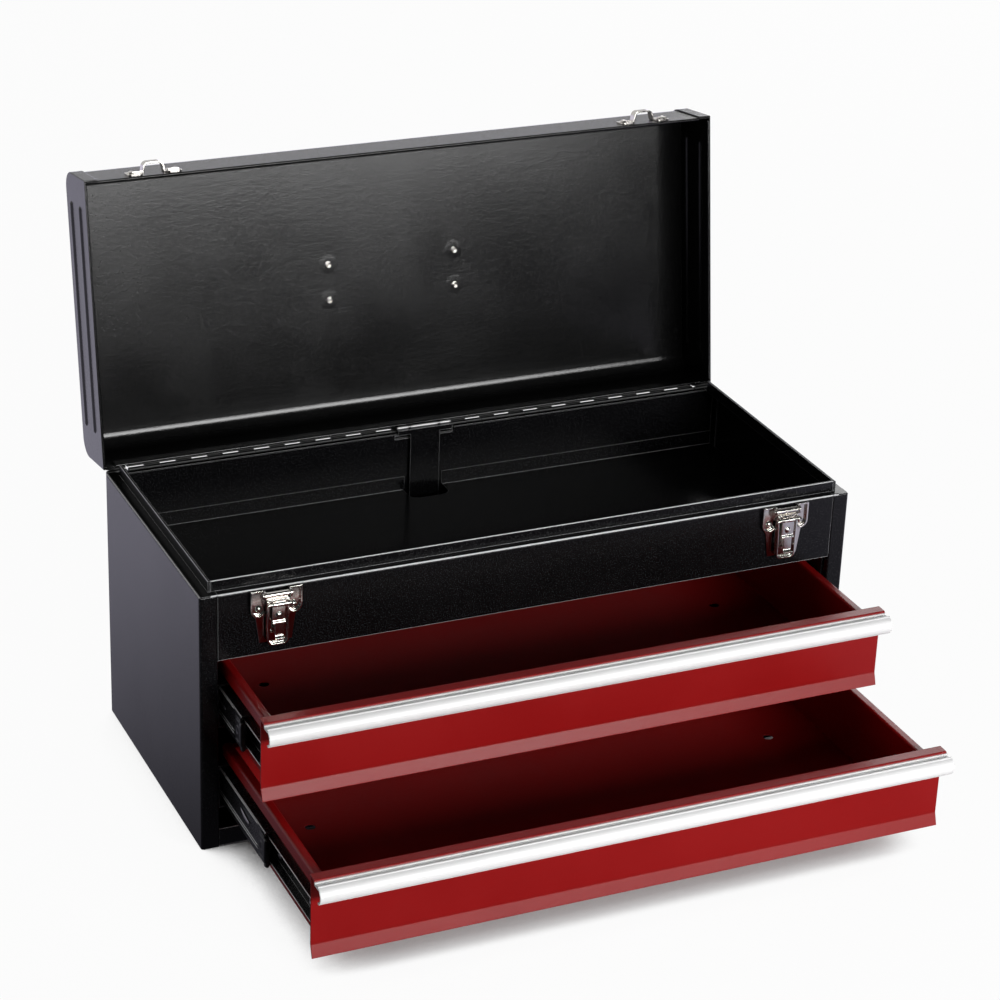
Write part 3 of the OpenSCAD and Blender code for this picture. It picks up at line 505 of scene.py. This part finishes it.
@dataclass(frozen=True)
class StudioRoom:
    """The room round the floor: white to the camera.

    In reflections it is dim behind the camera and pale at the back.
    """

    name: str = "studio_room"
    ambient: float = 0.04
    front: float = 0.02
    back: float = 0.6
    back_side: Point = (-0.35, 0.94, 0.0)
    back_band: Pair = (-0.2, 0.9)

    def world(self) -> bpy.types.World:
        """Builds the world's nodes.

        Returns:
            The world.
        """
        world = bpy.data.worlds.new(self.name)
        world.use_nodes = True
        g = Graph(self.name, world.node_tree)
        camera, glossy, through = g.rays("Camera", "Glossy", "Transmission")
        heading = g.node("ShaderNodeTexCoord", output="Generated")
        behind = g.dot(heading, self.back_side).step(*self.back_band)
        reflected = self.front + behind * (self.back - self.front)
        level = (glossy.larger(through) * reflected).larger(camera).larger(self.ambient)
        light = g.node("ShaderNodeBackground", {}, {"Color": WHITE, "Strength": level})
        g.node("ShaderNodeOutputWorld", {}, {"Surface": light}, None)
        return world


class Finish(Enum):
    """Every finish on the box, under the name of the record's material slot."""

    # The third colour of each paint is its painted highlight on edges and bends, also used for its sand
    # flecks.
    BLACK_PAINT = PowderCoat(
        "black_paint", (0.0030, 0.0030, 0.0036), (0.0022, 0.0022, 0.0026), (0.85, 0.85, 0.87),
        roughness=0.22, sand=0.025, gloss=0.25, fold=1.0,
    )
    LID_PAINT = PowderCoat(
        "lid_paint", (0.0036, 0.0036, 0.0037), (0.0026, 0.0026, 0.0027), (0.10, 0.10, 0.10),
        roughness=0.17, sand=0.08, sand_depth=0.06 * MM, peel_depth=0.035 * MM, fleck_waves=800.0,
    )
    RED_PAINT = PowderCoat(
        "red_paint", (0.30, 0.0050, 0.0055), (0.27, 0.0040, 0.0045), (0.50, 0.05, 0.05),
        roughness=0.34, sand=0.04, gloss=0.3,
    )
    SLIDE_BLACK = PowderCoat(
        "slide_black", (0.006, 0.006, 0.0065), (0.004, 0.004, 0.0045), (0.70, 0.70, 0.70),
        roughness=0.28, sand=0.1, edge_radius=0.4 * MM, fold=1.0,
    )
    HINGE_PAINT = PowderCoat(
        "hinge_paint", (0.006, 0.006, 0.0065), (0.004, 0.004, 0.0045), (0.30, 0.30, 0.30),
        roughness=0.33, sand=0.1, gloss=0.32, fold=0.5,
    )
    # Nearly white and mostly matt: partly the strip's own pale tone, partly a painted reflection of the
    # pale room; its grooves get painted shade.
    STRIP_ALUMINIUM = Plating(
        "strip_aluminium", (0.98, 0.98, 0.98), (0.94, 0.94, 0.94), roughness=0.50,
        brush=(0.02, 1.0, 1.0), brush_waves=2500.0, brush_depth=0.004 * MM, metallic=0.1, soil=0.75,
    )
    LATCH_NICKEL = Plating("latch_nickel", (0.78, 0.75, 0.71), (0.58, 0.55, 0.51), roughness=0.09)
    BAIL_CHROME = Plating("bail_chrome", (0.82, 0.82, 0.83), (0.72, 0.72, 0.73), roughness=0.07)
    BALL_STEEL = Plating("ball_steel", (0.80, 0.80, 0.81), (0.70, 0.70, 0.71), roughness=0.08)
    # A bright finish for beads on dark parts: a painted highlight along rolled edges and steps.
    ROLL_STEEL = Plating(
        "slide_steel", (0.80, 0.80, 0.80), (0.66, 0.66, 0.66), roughness=0.34, metallic=0.35,
    )
    PIN_STEEL = Plating("pin_steel", (0.16, 0.16, 0.165), (0.10, 0.10, 0.10), roughness=0.26)
    LEVER_ZINC = Plating("pin_steel", (0.62, 0.60, 0.62), (0.45, 0.44, 0.45), roughness=0.34)
    STOP_PLASTIC = Moulding(
        "grip_plastic", (0.006, 0.006, 0.0062), (0.004, 0.004, 0.0042), roughness=0.30,
    )
    GRIP_PLASTIC = Moulding("grip_plastic", (0.012, 0.012, 0.013), (0.008, 0.008, 0.009))


class Dresser:
    """Gives nodes and pieces their finish, and makes each material once."""

    def __init__(self, nodes: Mapping[str, bpy.types.Object]) -> None:
        """Takes the frame's CAD nodes by name."""
        self.nodes = nodes
        self.made: Dict[Finish, bpy.types.Material] = {}

    def material(self, finish: Finish) -> bpy.types.Material:
        """The material of a finish, made when it is first asked for.

        Args:
            finish: the finish.

        Returns:
            Its material.
        """
        if finish not in self.made:
            self.made[finish] = finish.value.material()
        return self.made[finish]

    def dress(self, finish: Finish, *names: str) -> None:
        """Puts a finish on CAD nodes.

        Args:
            finish: the finish.
            *names: the nodes.
        """
        for name in names:
            for slot in self.nodes[name].material_slots:
                slot.material = self.material(finish)
            LOG.info("node %s: %s", name, finish.name.lower())

    def add(self, name: str, mesh: Mesh, finish: Finish, body: str) -> None:
        """Makes a smooth piece that rides on a CAD body.

        Args:
            name: the piece's name.
            mesh: its points and faces, in metres in the box's frame.
            finish: what it is finished in.
            body: the CAD body that it moves with.
        """
        points, faces = mesh
        data = bpy.data.meshes.new(name)
        data.from_pydata(points.tolist(), [], faces.tolist())
        data.polygons.foreach_set("use_smooth", np.ones(len(faces), bool))
        data.materials.append(self.material(finish))
        data.update()
        piece = bpy.data.objects.new(name, data)
        bpy.context.scene.collection.objects.link(piece)
        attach(piece, body)
        LOG.info("piece %s: %d points, %d faces", name, len(points), len(faces))


# ------------------------------------------------------------------ shapes

ROUND = 2.0
FLAT = 8.0
SECTION_STEPS = 32
END_POWER = 6
END_REACH = 0.999


def superellipse(steps: int, power: float) -> np.ndarray:
    """Points round a rounded square of half-width 1.

    At angle t the point is (sign(cos t) |cos t|^(2/power), sign(sin t) |sin t|^(2/power)). A power of 2
    gives a circle, and a higher one squares it up.

    Args:
        steps: points round it.
        power: how square it is.

    Returns:
        An array of steps rows and 2 columns.
    """
    angle = np.linspace(0.0, 2.0 * np.pi, steps, endpoint=False)
    wave = np.stack((np.cos(angle), np.sin(angle)), axis=1)
    return np.sign(wave) * np.abs(wave) ** (2.0 / power)


def skin(rings: np.ndarray) -> Mesh:
    """Joins rings of points into a closed skin, with a centre point at each end.

    Ring i and ring i + 1 are joined by two triangles for each pair of neighbours, and each end is a fan
    from the mean of its ring. Rings run counter-clockwise seen from the last ring's side.

    Args:
        rings: an array of rings by points by 3.

    Returns:
        The mesh.
    """
    count, steps, _ = rings.shape
    points = np.concatenate((rings.reshape(-1, 3), rings[[0, -1]].mean(axis=1)))
    here = np.arange(steps)
    after = np.roll(here, -1)
    base = (np.arange(count - 1) * steps)[:, None]
    first = np.stack((base + here, base + after, base + steps + after), axis=2).reshape(-1, 3)
    second = np.stack((base + here, base + steps + after, base + steps + here), axis=2).reshape(-1, 3)
    last = (count - 1) * steps
    start = np.stack((after, here, np.full(steps, count * steps)), axis=1)
    end = np.stack((last + here, last + after, np.full(steps, count * steps + 1)), axis=1)
    return points, np.concatenate((first, second, start, end))


def joined(meshes: Sequence[Mesh]) -> Mesh:
    """Several meshes as one.

    The points follow end to end, and each mesh's faces are moved on by the number of points before it.

    Args:
        meshes: the meshes.

    Returns:
        The one mesh.
    """
    starts = np.cumsum([0] + [len(points) for points, _ in meshes[:-1]])
    return (
        np.concatenate([points for points, _ in meshes]),
        np.concatenate([faces + start for (_, faces), start in zip(meshes, starts)]),
    )


def turned(profile: np.ndarray, centre: Sequence[float], axis: Sequence[float], steps: int) -> Mesh:
    """A profile of (radius, height) rows spun round an axis.

    Point (i, j) is centre + radius_i (cos t_j u + sin t_j v) + height_i axis, where u and v are square
    to the axis.

    Args:
        profile: rows of radius and height, from the bottom up.
        centre: the point that height 0 lies on.
        axis: the unit vector along which height grows.
        steps: points round the axis.

    Returns:
        The mesh.
    """
    along = np.asarray(axis, float)
    lies_along_x = abs(along[0]) > 0.9
    u = np.cross(along, BACKWARD if lies_along_x else (1.0, 0.0, 0.0))
    u /= np.linalg.norm(u)
    circle = superellipse(steps, ROUND) @ np.stack((u, np.cross(along, u)))
    rings = profile[:, 0, None, None] * circle + profile[:, 1, None, None] * along
    return skin(rings + np.asarray(centre, float))


def bar(ends: Tuple[Point, Point], half: Pair, across: Point, stations: int, power: float) -> Mesh:
    """A straight bar of rounded-square section whose ends are rounded off.

    Station v runs from -1 to 1 along the bar. Its section is a superellipse of half-sizes half, scaled
    by (1 - |v|^6)^(1/6), so that it closes in a round over the last few per cent of the length.

    Args:
        ends: the middles of its two end faces.
        half: half of its size along across, and square to it.
        across: the unit direction of its first half-size.
        stations: sections along it.
        power: how square its section is.

    Returns:
        The mesh.
    """
    start, end = np.asarray(ends[0], float), np.asarray(ends[1], float)
    along = (end - start) / np.linalg.norm(end - start)
    side = np.asarray(across, float)
    plane = np.stack((side, np.cross(along, side)))
    section = superellipse(SECTION_STEPS, power) * np.asarray(half) @ plane
    v = np.sin(np.linspace(-0.5, 0.5, stations) * np.pi)
    scale = (1.0 - np.abs(v * END_REACH) ** END_POWER) ** (1.0 / END_POWER)
    middle = (start + end) / 2.0 + v[:, None] * (end - start) / 2.0
    return skin(middle[:, None, :] + scale[:, None, None] * section)


# ------------------------------------------------------------------ the box's parts


@dataclass
class Case:
    """The fixed case with its tray, hinge leaf and slide carriers."""

    dresser: Dresser
    roll_r: float = 0.9 * MM
    roll_inset: float = 0.5 * MM
    roll_cuts: Tuple[Pair, ...] = ((-0.0228, -0.0130), (-0.0115, 0.0120), (0.0135, 0.0228))
    flap_x: Pair = (-0.0260, 0.0260)
    flap_y: float = 0.1108
    flap_z: float = 0.1978
    flap_half: Pair = (3.6 * MM, 0.2 * MM)

    def build(self) -> None:
        """Dresses the case, and adds the lock bar's rolled edge and the flap behind its notch."""
        self.dresser.dress(
            Finish.BLACK_PAINT,
            "left_side_panel", "right_side_panel", "back_panel", "bottom_panel", "front_fascia",
            "tray_floor", "left_slide_carrier", "right_slide_carrier", "lock_guides", "lock_bar",
        )
        self.dresser.dress(Finish.HINGE_PAINT, "case_hinge_leaf")
        self.dresser.dress(Finish.PIN_STEEL, "hinge_pin")
        self.dresser.add("lock_bar_roll", self._roll(), Finish.ROLL_STEEL, "lock_bar")
        self.dresser.add("notch_flap", self._flap(), Finish.BLACK_PAINT, "case")

    def _roll(self) -> Mesh:
        """The rolled rear edge of the lock bar's tab, in three lengths with cuts between them; its bright
        finish is a painted highlight.

        Returns:
            The mesh.
        """
        _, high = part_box("lock_bar")
        y, z = high[1] - self.roll_inset, high[2] + self.roll_r
        half = (self.roll_r, self.roll_r)
        return joined([
            bar(((x0, y, z), (x1, y, z)), half, BACKWARD, stations=15, power=ROUND)
            for x0, x1 in self.roll_cuts
        ])

    def _flap(self) -> Mesh:
        """The thin plate behind the notch in the back panel."""
        ends = tuple((x, self.flap_y, self.flap_z) for x in self.flap_x)
        return bar(ends, self.flap_half, UPRIGHT, stations=13, power=FLAT)


@dataclass
class Lid:
    """The lid with its ends and hinge leaf.

    The lid stands open, so places on the shut lid are turned about the hinge by the opening angle. Sizes
    are in metres, apart from the profiles at the rivets, which are in millimetres.
    """

    dresser: Dresser
    open_turn: float = math.radians(98.2)
    axis: Pair = (0.1140, 0.2025)
    inner_top: float = 0.2555
    tail_r: float = 2.85 * MM
    tail_ends: Pair = (0.2423, 0.2586)
    plate_y: float = 0.1111
    plate_half: float = 0.4 * MM
    plate_reach: Pair = (0.2034, 0.2130)
    rivet_x: float = 0.0538
    rivet_y: Pair = (-0.0152, 0.0135)
    rim_r: float = 2.30
    rim_h: float = 1.30
    rim_half: float = 0.40
    rim_foot: Pair = (2.7, 0.4)
    rim_heel: Pair = (1.9, 0.6)

    def build(self) -> None:
        """Dresses the lid, and adds the hinge's tails and the dents and rims at the handle's rivets."""
        self.dresser.dress(Finish.LID_PAINT, "lid_shell", "left_lid_end", "right_lid_end")
        self.dresser.dress(Finish.HINGE_PAINT, "lid_hinge_leaf")
        for side in Side:
            tail = self._tail(side)
            self.dresser.add(f"{side.word}_hinge_tail", tail, Finish.HINGE_PAINT, "lid")
        self.dresser.add("rivet_dents", self._dents(), Finish.LID_PAINT, "lid")
        self.dresser.add("rivet_rims", self._rims(), Finish.LATCH_NICKEL, "lid")

    def _opened(self, x: float, y: float, z: float) -> Point:
        """Where a point of the shut lid is when the lid is open.

        Args:
            x: its place along the hinge.
            y: its place backwards.
            z: its height.

        Returns:
            The point, turned about the hinge's axis.
        """
        y0, z0 = self.axis
        c, s = math.cos(self.open_turn), math.sin(self.open_turn)
        return (x, y0 + (y - y0) * c + (z - z0) * s, z0 - (y - y0) * s + (z - z0) * c)

    def _tail(self, side: Side) -> Mesh:
        """The plain end of the lid's leaf, from the last knuckle to the corner: a roll and a strip.

        Args:
            side: the end of the hinge.

        Returns:
            The mesh.
        """
        x0, x1 = (side.value * x for x in self.tail_ends)
        centres = (x0, *self.axis), (x1, *self.axis)
        roll = bar(centres, (self.tail_r, self.tail_r), BACKWARD, stations=13, power=ROUND)
        low, high = self.plate_reach
        ends = tuple(self._opened(x, self.plate_y, (low + high) / 2.0) for x in (x0, x1))
        rise = np.subtract(self._opened(0.0, 0.0, 1.0), self._opened(0.0, 0.0, 0.0))
        half = ((high - low) / 2.0, self.plate_half)
        strip = bar(ends, half, tuple(rise), stations=13, power=FLAT)
        return joined([roll, strip])

    def _dents(self) -> Mesh:
        """A shallow raised ring of drawn metal round each rivet, as a spun profile in millimetres.

        Returns:
            The mesh.
        """
        radius = np.array([9.4, 9.4, 8.6, 7.8, 6.8, 5.6, 4.6, 3.8, 2.0])
        height = np.array([-0.9, -0.06, -0.02, 0.0, 0.02, 0.05, 0.07, 0.08, 0.08])
        return self._at_rivets(np.stack((radius, height), axis=1))

    def _rims(self) -> Mesh:
        """The rolled rim on each rivet's inner head: a half circle of section, spun.

        Returns:
            The mesh.
        """
        turn = np.linspace(0.0, np.pi, 9)
        radius = self.rim_r + self.rim_half * np.cos(turn)
        height = self.rim_h + self.rim_half * np.sin(turn)
        roll = np.stack((radius, height), axis=1)
        return self._at_rivets(np.concatenate(([self.rim_foot], roll, [self.rim_heel])))

    def _at_rivets(self, profile: np.ndarray) -> Mesh:
        """A spun profile at each of the handle's four rivets, standing on the lid's inner face.

        Args:
            profile: rows of radius and height, in millimetres.

        Returns:
            The mesh.
        """
        inward = np.subtract(self._opened(0.0, 0.0, 0.0), self._opened(0.0, 0.0, 1.0))
        return joined([
            turned(profile * MM, self._opened(x, y, self.inner_top), inward, steps=40)
            for x in (-self.rivet_x, self.rivet_x)
            for y in self.rivet_y
        ])


@dataclass
class Handle:
    """The folding handle on the lid's outside."""

    dresser: Dresser

    def build(self) -> None:
        """Dresses the handle."""
        self.dresser.dress(Finish.LATCH_NICKEL, "handle_brackets", "handle_rivets")
        self.dresser.dress(Finish.BAIL_CHROME, "handle_bail")
        self.dresser.dress(Finish.GRIP_PLASTIC, "handle_grip")


@dataclass
class Latch:
    """One draw latch with its strike."""

    dresser: Dresser
    side: Side

    def build(self) -> None:
        """Dresses the latch."""
        parts = ("latch_base", "latch_pin", "latch_lever", "latch_hook", "strike")
        self.dresser.dress(Finish.LATCH_NICKEL, *(f"{self.side.word}_{part}" for part in parts))


@dataclass(frozen=True)
class Rod:
    """A straight moulded or rolled length on a slide, in millimetres.

    Each end is (out, back, up), as SlideTrim places it on a rail. The first half-size stands upright.
    """

    start: Point
    end: Point
    half: Pair
    power: float = 5.0

    def mesh(self, locate: Callable[[Point], Point]) -> Mesh:
        """The rod's bar, between the points where locate puts its ends."""
        half = (self.half[0] * MM, self.half[1] * MM)
        return bar((locate(self.start), locate(self.end)), half, UPRIGHT, stations=11, power=self.power)


@dataclass
class SlideTrim:
    """What one slide carries besides its rails: a front stop, rolled steps, a lever and screws.

    Sizes and places are in millimetres. A place is given as (out, back, up): out from the middle rail's
    outer face or the drawer rail's web, back from that rail's front end, and up from its middle.
    """

    dresser: Dresser
    level: Level
    side: Side
    middle_rail: np.ndarray = field(init=False)
    drawer_rail: np.ndarray = field(init=False)
    web_thickness: float = 1.1
    stop_head: Rod = Rod((0.0, -4.9, 0.6), (0.0, -0.3, 0.6), (9.6, 2.25))
    stop_cheek: Rod = Rod((0.45, -1.0, 0.0), (0.45, 11.0, 0.0), (11.2, 0.45))
    stop_hook: Rod = Rod((-0.3, -4.9, -9.6), (-0.3, -0.4, -10.6), (2.8, 1.5), 3.0)
    lower_rib: Rod = Rod((0.9, 0.5, -8.0), (0.9, 9.0, -8.0), (0.7, 0.45), 2.5)
    upper_rib: Rod = Rod((0.9, 0.5, 8.2), (0.9, 9.0, 8.2), (0.7, 0.45), 2.5)
    boss_place: Point = (0.45, 5.2, 0.0)
    step_half: Pair = (0.4, 0.4)
    middle_step_ups: Tuple[float, ...] = (12.4, -5.2, -7.6)
    middle_step_margins: Pair = (14.0, 6.0)
    drawer_step_up: float = 3.4
    drawer_step_margins: Pair = (1.0, 2.0)
    lip_depth: float = 1.25
    lip_radius: float = 0.25
    lever_front: Pair = (31.0, 3.5)
    lever_back: Pair = (49.0, 6.2)
    lever_out: float = 0.85
    lever_dip: float = 1.1
    lever_half: Pair = (0.32, 1.5)
    lever_tip: float = 0.02
    lever_taper: float = 0.35
    screw_backs: Tuple[float, ...] = (22.0, 85.0, 165.0)
    screw_up: float = -2.6

    def __post_init__(self) -> None:
        """Reads the lowest and highest corners of the slide's middle rail and drawer rail."""
        name = f"{self.level.value}_{self.side.word}"
        self.middle_rail = np.array(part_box(f"{name}_middle_rail"))
        self.drawer_rail = np.array(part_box(f"{name}_drawer_rail"))

    def build(self) -> None:
        """Adds the slide's small parts."""
        word = self.level.value
        middle, drawer = f"{word}_middle_rails", f"{word}_drawer"
        add, name = self.dresser.add, f"{word}_{self.side.word}"
        add(f"{name}_slide_stop", self._stop(), Finish.STOP_PLASTIC, middle)
        add(f"{name}_middle_steps", self._middle_steps(), Finish.ROLL_STEEL, middle)
        add(f"{name}_slide_lever", self._lever(), Finish.LEVER_ZINC, middle)
        add(f"{name}_drawer_steps", self._drawer_steps(), Finish.ROLL_STEEL, drawer)
        add(f"{name}_slide_screws", self._screws(), Finish.LEVER_ZINC, drawer)

    def _placed(self, rail: np.ndarray, face: float, place: Point) -> Point:
        """Turns a place on a rail into a point of the box's frame.

        Args:
            rail: the rail's lowest and highest corners.
            face: how far out from the box's middle the rail's face or web lies, in metres.
            place: the place as (out, back, up).

        Returns:
            The point, in metres.
        """
        out, back, up = place
        x = self.side.value * (face + out * MM)
        return (x, rail[0, 1] + back * MM, rail[:, 2].mean() + up * MM)

    def _on_middle(self, place: Point) -> Point:
        """The point at a place on the middle rail."""
        return self._placed(self.middle_rail, np.abs(self.middle_rail[:, 0]).max(), place)

    def _in_drawer(self, place: Point) -> Point:
        """The point at a place in the drawer rail."""
        web = np.abs(self.drawer_rail[:, 0]).min() + self.web_thickness * MM
        return self._placed(self.drawer_rail, web, place)

    def _stop(self) -> Mesh:
        """The moulded stop: a head before the rail, a cheek on its face, a hook below, ribs and a boss.

        Returns:
            The mesh.
        """
        rods = (self.stop_head, self.stop_cheek, self.stop_hook, self.lower_rib, self.upper_rib)
        radius = np.array([4.3, 4.3, 3.9, 2.6, 2.2, 2.0, 0.4])
        height = np.array([-0.2, 0.5, 0.8, 0.8, 0.4, 0.1, 0.1])
        profile = np.stack((radius, height), axis=1) * MM
        boss = turned(profile, self._on_middle(self.boss_place), self.side.outward, steps=32)
        return joined([*(rod.mesh(self._on_middle) for rod in rods), boss])

    def _middle_steps(self) -> Mesh:
        """The rolled lines along the middle rail's outer face, in a bright finish that is a painted
        highlight.

        Returns:
            The mesh.
        """
        front, back = self.middle_step_margins
        end = np.ptp(self.middle_rail[:, 1]) / MM - back
        return joined([
            Rod((0.0, front, up), (0.0, end, up), self.step_half, ROUND).mesh(self._on_middle)
            for up in self.middle_step_ups
        ])

    def _drawer_steps(self) -> Mesh:
        """The rolled step inside the drawer rail's web, and the rims of its two lips, in a bright finish
        that is a painted highlight.

        Returns:
            The mesh.
        """
        front, back = self.drawer_step_margins
        width, length, height = np.ptp(self.drawer_rail, axis=0) / MM
        lip_out, lip_up = width - self.lip_depth, height / 2.0 - self.lip_radius
        places = ((0.0, self.drawer_step_up), (lip_out, lip_up), (lip_out, -lip_up))
        return joined([
            Rod((out, front, up), (out, length - back, up), self.step_half, ROUND).mesh(self._in_drawer)
            for out, up in places
        ])

    def _lever(self) -> Mesh:
        """The small sprung lever on the middle rail.

        Its middle line runs straight from back to front as run goes from 0 to 1, and dips below that by
        sin(pi run). Its section is a rounded square scaled by a low power of sin(pi run), which closes
        both ends.

        Returns:
            The mesh.
        """
        (front, front_up), (back, back_up) = self.lever_front, self.lever_back
        run = np.linspace(0.0, 1.0, 15)
        rise = back_up + (front_up - back_up) * run - self.lever_dip * np.sin(run * np.pi)
        depth = back + (front - back) * run
        origin = self._on_middle((self.lever_out, 0.0, 0.0))
        centre = origin + np.stack((np.zeros_like(run), depth, rise), axis=1) * MM
        inner = np.clip(run, self.lever_tip, 1.0 - self.lever_tip)
        scale = np.sin(inner * np.pi) ** self.lever_taper
        section = superellipse(steps=20, power=4.0) * self.lever_half * MM * self.side.value
        spread = np.insert(section, 1, 0.0, axis=1)
        return skin(centre[:, None, :] + scale[:, None, None] * spread)

    def _screws(self) -> Mesh:
        """Flat-headed screws through the drawer rail's web, as spun profiles with a round recess.

        Returns:
            The mesh.
        """
        radius = np.array([3.0, 3.0, 2.4, 1.5, 1.3, 0.3])
        height = np.array([-0.1, 0.3, 0.8, 1.0, 0.6, 0.5])
        profile = np.stack((radius, height), axis=1) * MM
        return joined([
            turned(profile, self._in_drawer((0.0, back, self.screw_up)), self.side.outward, steps=24)
            for back in self.screw_backs
        ])


@dataclass
class Drawer:
    """One drawer with its pull strip and both slides."""

    dresser: Dresser
    level: Level

    def build(self) -> None:
        """Dresses the drawer and its slides, and adds what the slides carry."""
        word = self.level.value
        sheets = (f"{word}_drawer_{part}" for part in ("body", "pan", "front"))
        self.dresser.dress(Finish.RED_PAINT, *sheets)
        self.dresser.dress(Finish.STRIP_ALUMINIUM, f"{word}_pull_strip")
        for side in Side:
            rails = (f"{word}_{side.word}_{rail}_rail" for rail in ("case", "middle", "drawer"))
            self.dresser.dress(Finish.SLIDE_BLACK, *rails)
            SlideTrim(self.dresser, self.level, side).build()
        self.dresser.dress(Finish.BALL_STEEL, f"{word}_inner_ball_cages", f"{word}_outer_ball_cages")


# ------------------------------------------------------------------ studio


@dataclass
class Lamp:
    """A soft box that faces a point."""

    name: str
    place: Point
    width: float
    height: float
    watts: float
    aim: Point = (0.0, -0.05, 0.15)

    def build(self) -> None:
        """Adds the lamp to the scene."""
        light = bpy.data.lights.new(self.name, "AREA")
        light.shape = "RECTANGLE"
        light.size = self.width
        light.size_y = self.height
        light.energy = self.watts
        lamp = bpy.data.objects.new(self.name, light)
        lamp.location = self.place
        lamp.rotation_mode = "QUATERNION"
        lamp.rotation_quaternion = (Vector(self.aim) - Vector(self.place)).to_track_quat("-Z", "Y")
        bpy.context.scene.collection.objects.link(lamp)


@dataclass
class Studio:
    """Floor, world, lamps and camera. The lens and the sensor are in millimetres."""

    floor_half: float = 9.0
    floor_drop: float = 0.2 * MM
    eye: Point = (-0.832212, -1.846843, 1.138280)
    look: Point = (0.378935, 0.822851, -0.423468)
    roll: float = math.radians(2.18)
    lens: float = 105.62
    sensor: float = 36.0

    def build(self) -> None:
        """Sets up everything round the box."""
        self._floor()
        self._world()
        for lamp in (
            Lamp("front_box", (0.62, -2.40, 0.74), width=1.4, height=0.8, watts=52.0),
            Lamp("left_box", (-2.2, 0.6, 1.3), width=1.2, height=1.2, watts=5.0),
            Lamp("top_box", (0.3, 0.9, 2.4), width=1.4, height=1.4, watts=3.0),
            Lamp("right_box", (1.75, 2.0, 1.3), width=1.2, height=1.2, watts=15.0),
        ):
            lamp.build()
        self._camera()

    def _floor(self) -> None:
        """Lays the floor just under the resting face."""
        h, z = self.floor_half, -self.floor_drop
        data = bpy.data.meshes.new("floor")
        data.from_pydata([(-h, -h, z), (h, -h, z), (h, h, z), (-h, h, z)], [], [(0, 1, 2, 3)])
        data.materials.append(StudioFloor().material())
        floor = bpy.data.objects.new("floor", data)
        bpy.context.scene.collection.objects.link(floor)

    def _world(self) -> None:
        """Sets the room and the plain colour view."""
        bpy.context.scene.world = StudioRoom().world()
        bpy.context.scene.view_settings.view_transform = "Standard"

    def _camera(self) -> None:
        """Stands the camera at the eye, looking along look and rolled a little."""
        forward = Vector(self.look).normalized()
        level_right = forward.cross(Vector(UPRIGHT)).normalized()
        level_up = level_right.cross(forward)
        right = level_right * math.cos(self.roll) + level_up * math.sin(self.roll)
        up = level_up * math.cos(self.roll) - level_right * math.sin(self.roll)
        data = bpy.data.cameras.new("camera")
        data.lens = self.lens
        data.sensor_width = self.sensor
        camera = bpy.data.objects.new("camera", data)
        axes = Matrix((right, up, -forward)).transposed().to_4x4()
        camera.matrix_world = Matrix.Translation(Vector(self.eye)) @ axes
        bpy.context.scene.collection.objects.link(camera)
        bpy.context.scene.camera = camera


def main() -> None:
    """Builds the box's looks in order."""
    logging.basicConfig(level=logging.INFO, format="%(name)s: %(message)s")
    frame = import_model()
    dresser = Dresser(frame["nodes"])
    parts = [Case(dresser), Lid(dresser), Handle(dresser)]
    parts += [Latch(dresser, side) for side in Side]
    parts += [Drawer(dresser, level) for level in Level]
    for part in parts:
        part.build()
    dresser.dress(Finish.LATCH_NICKEL, "latch_rivets", "strike_rivets")
    Studio().build()


if __name__ == "__main__":
    main()
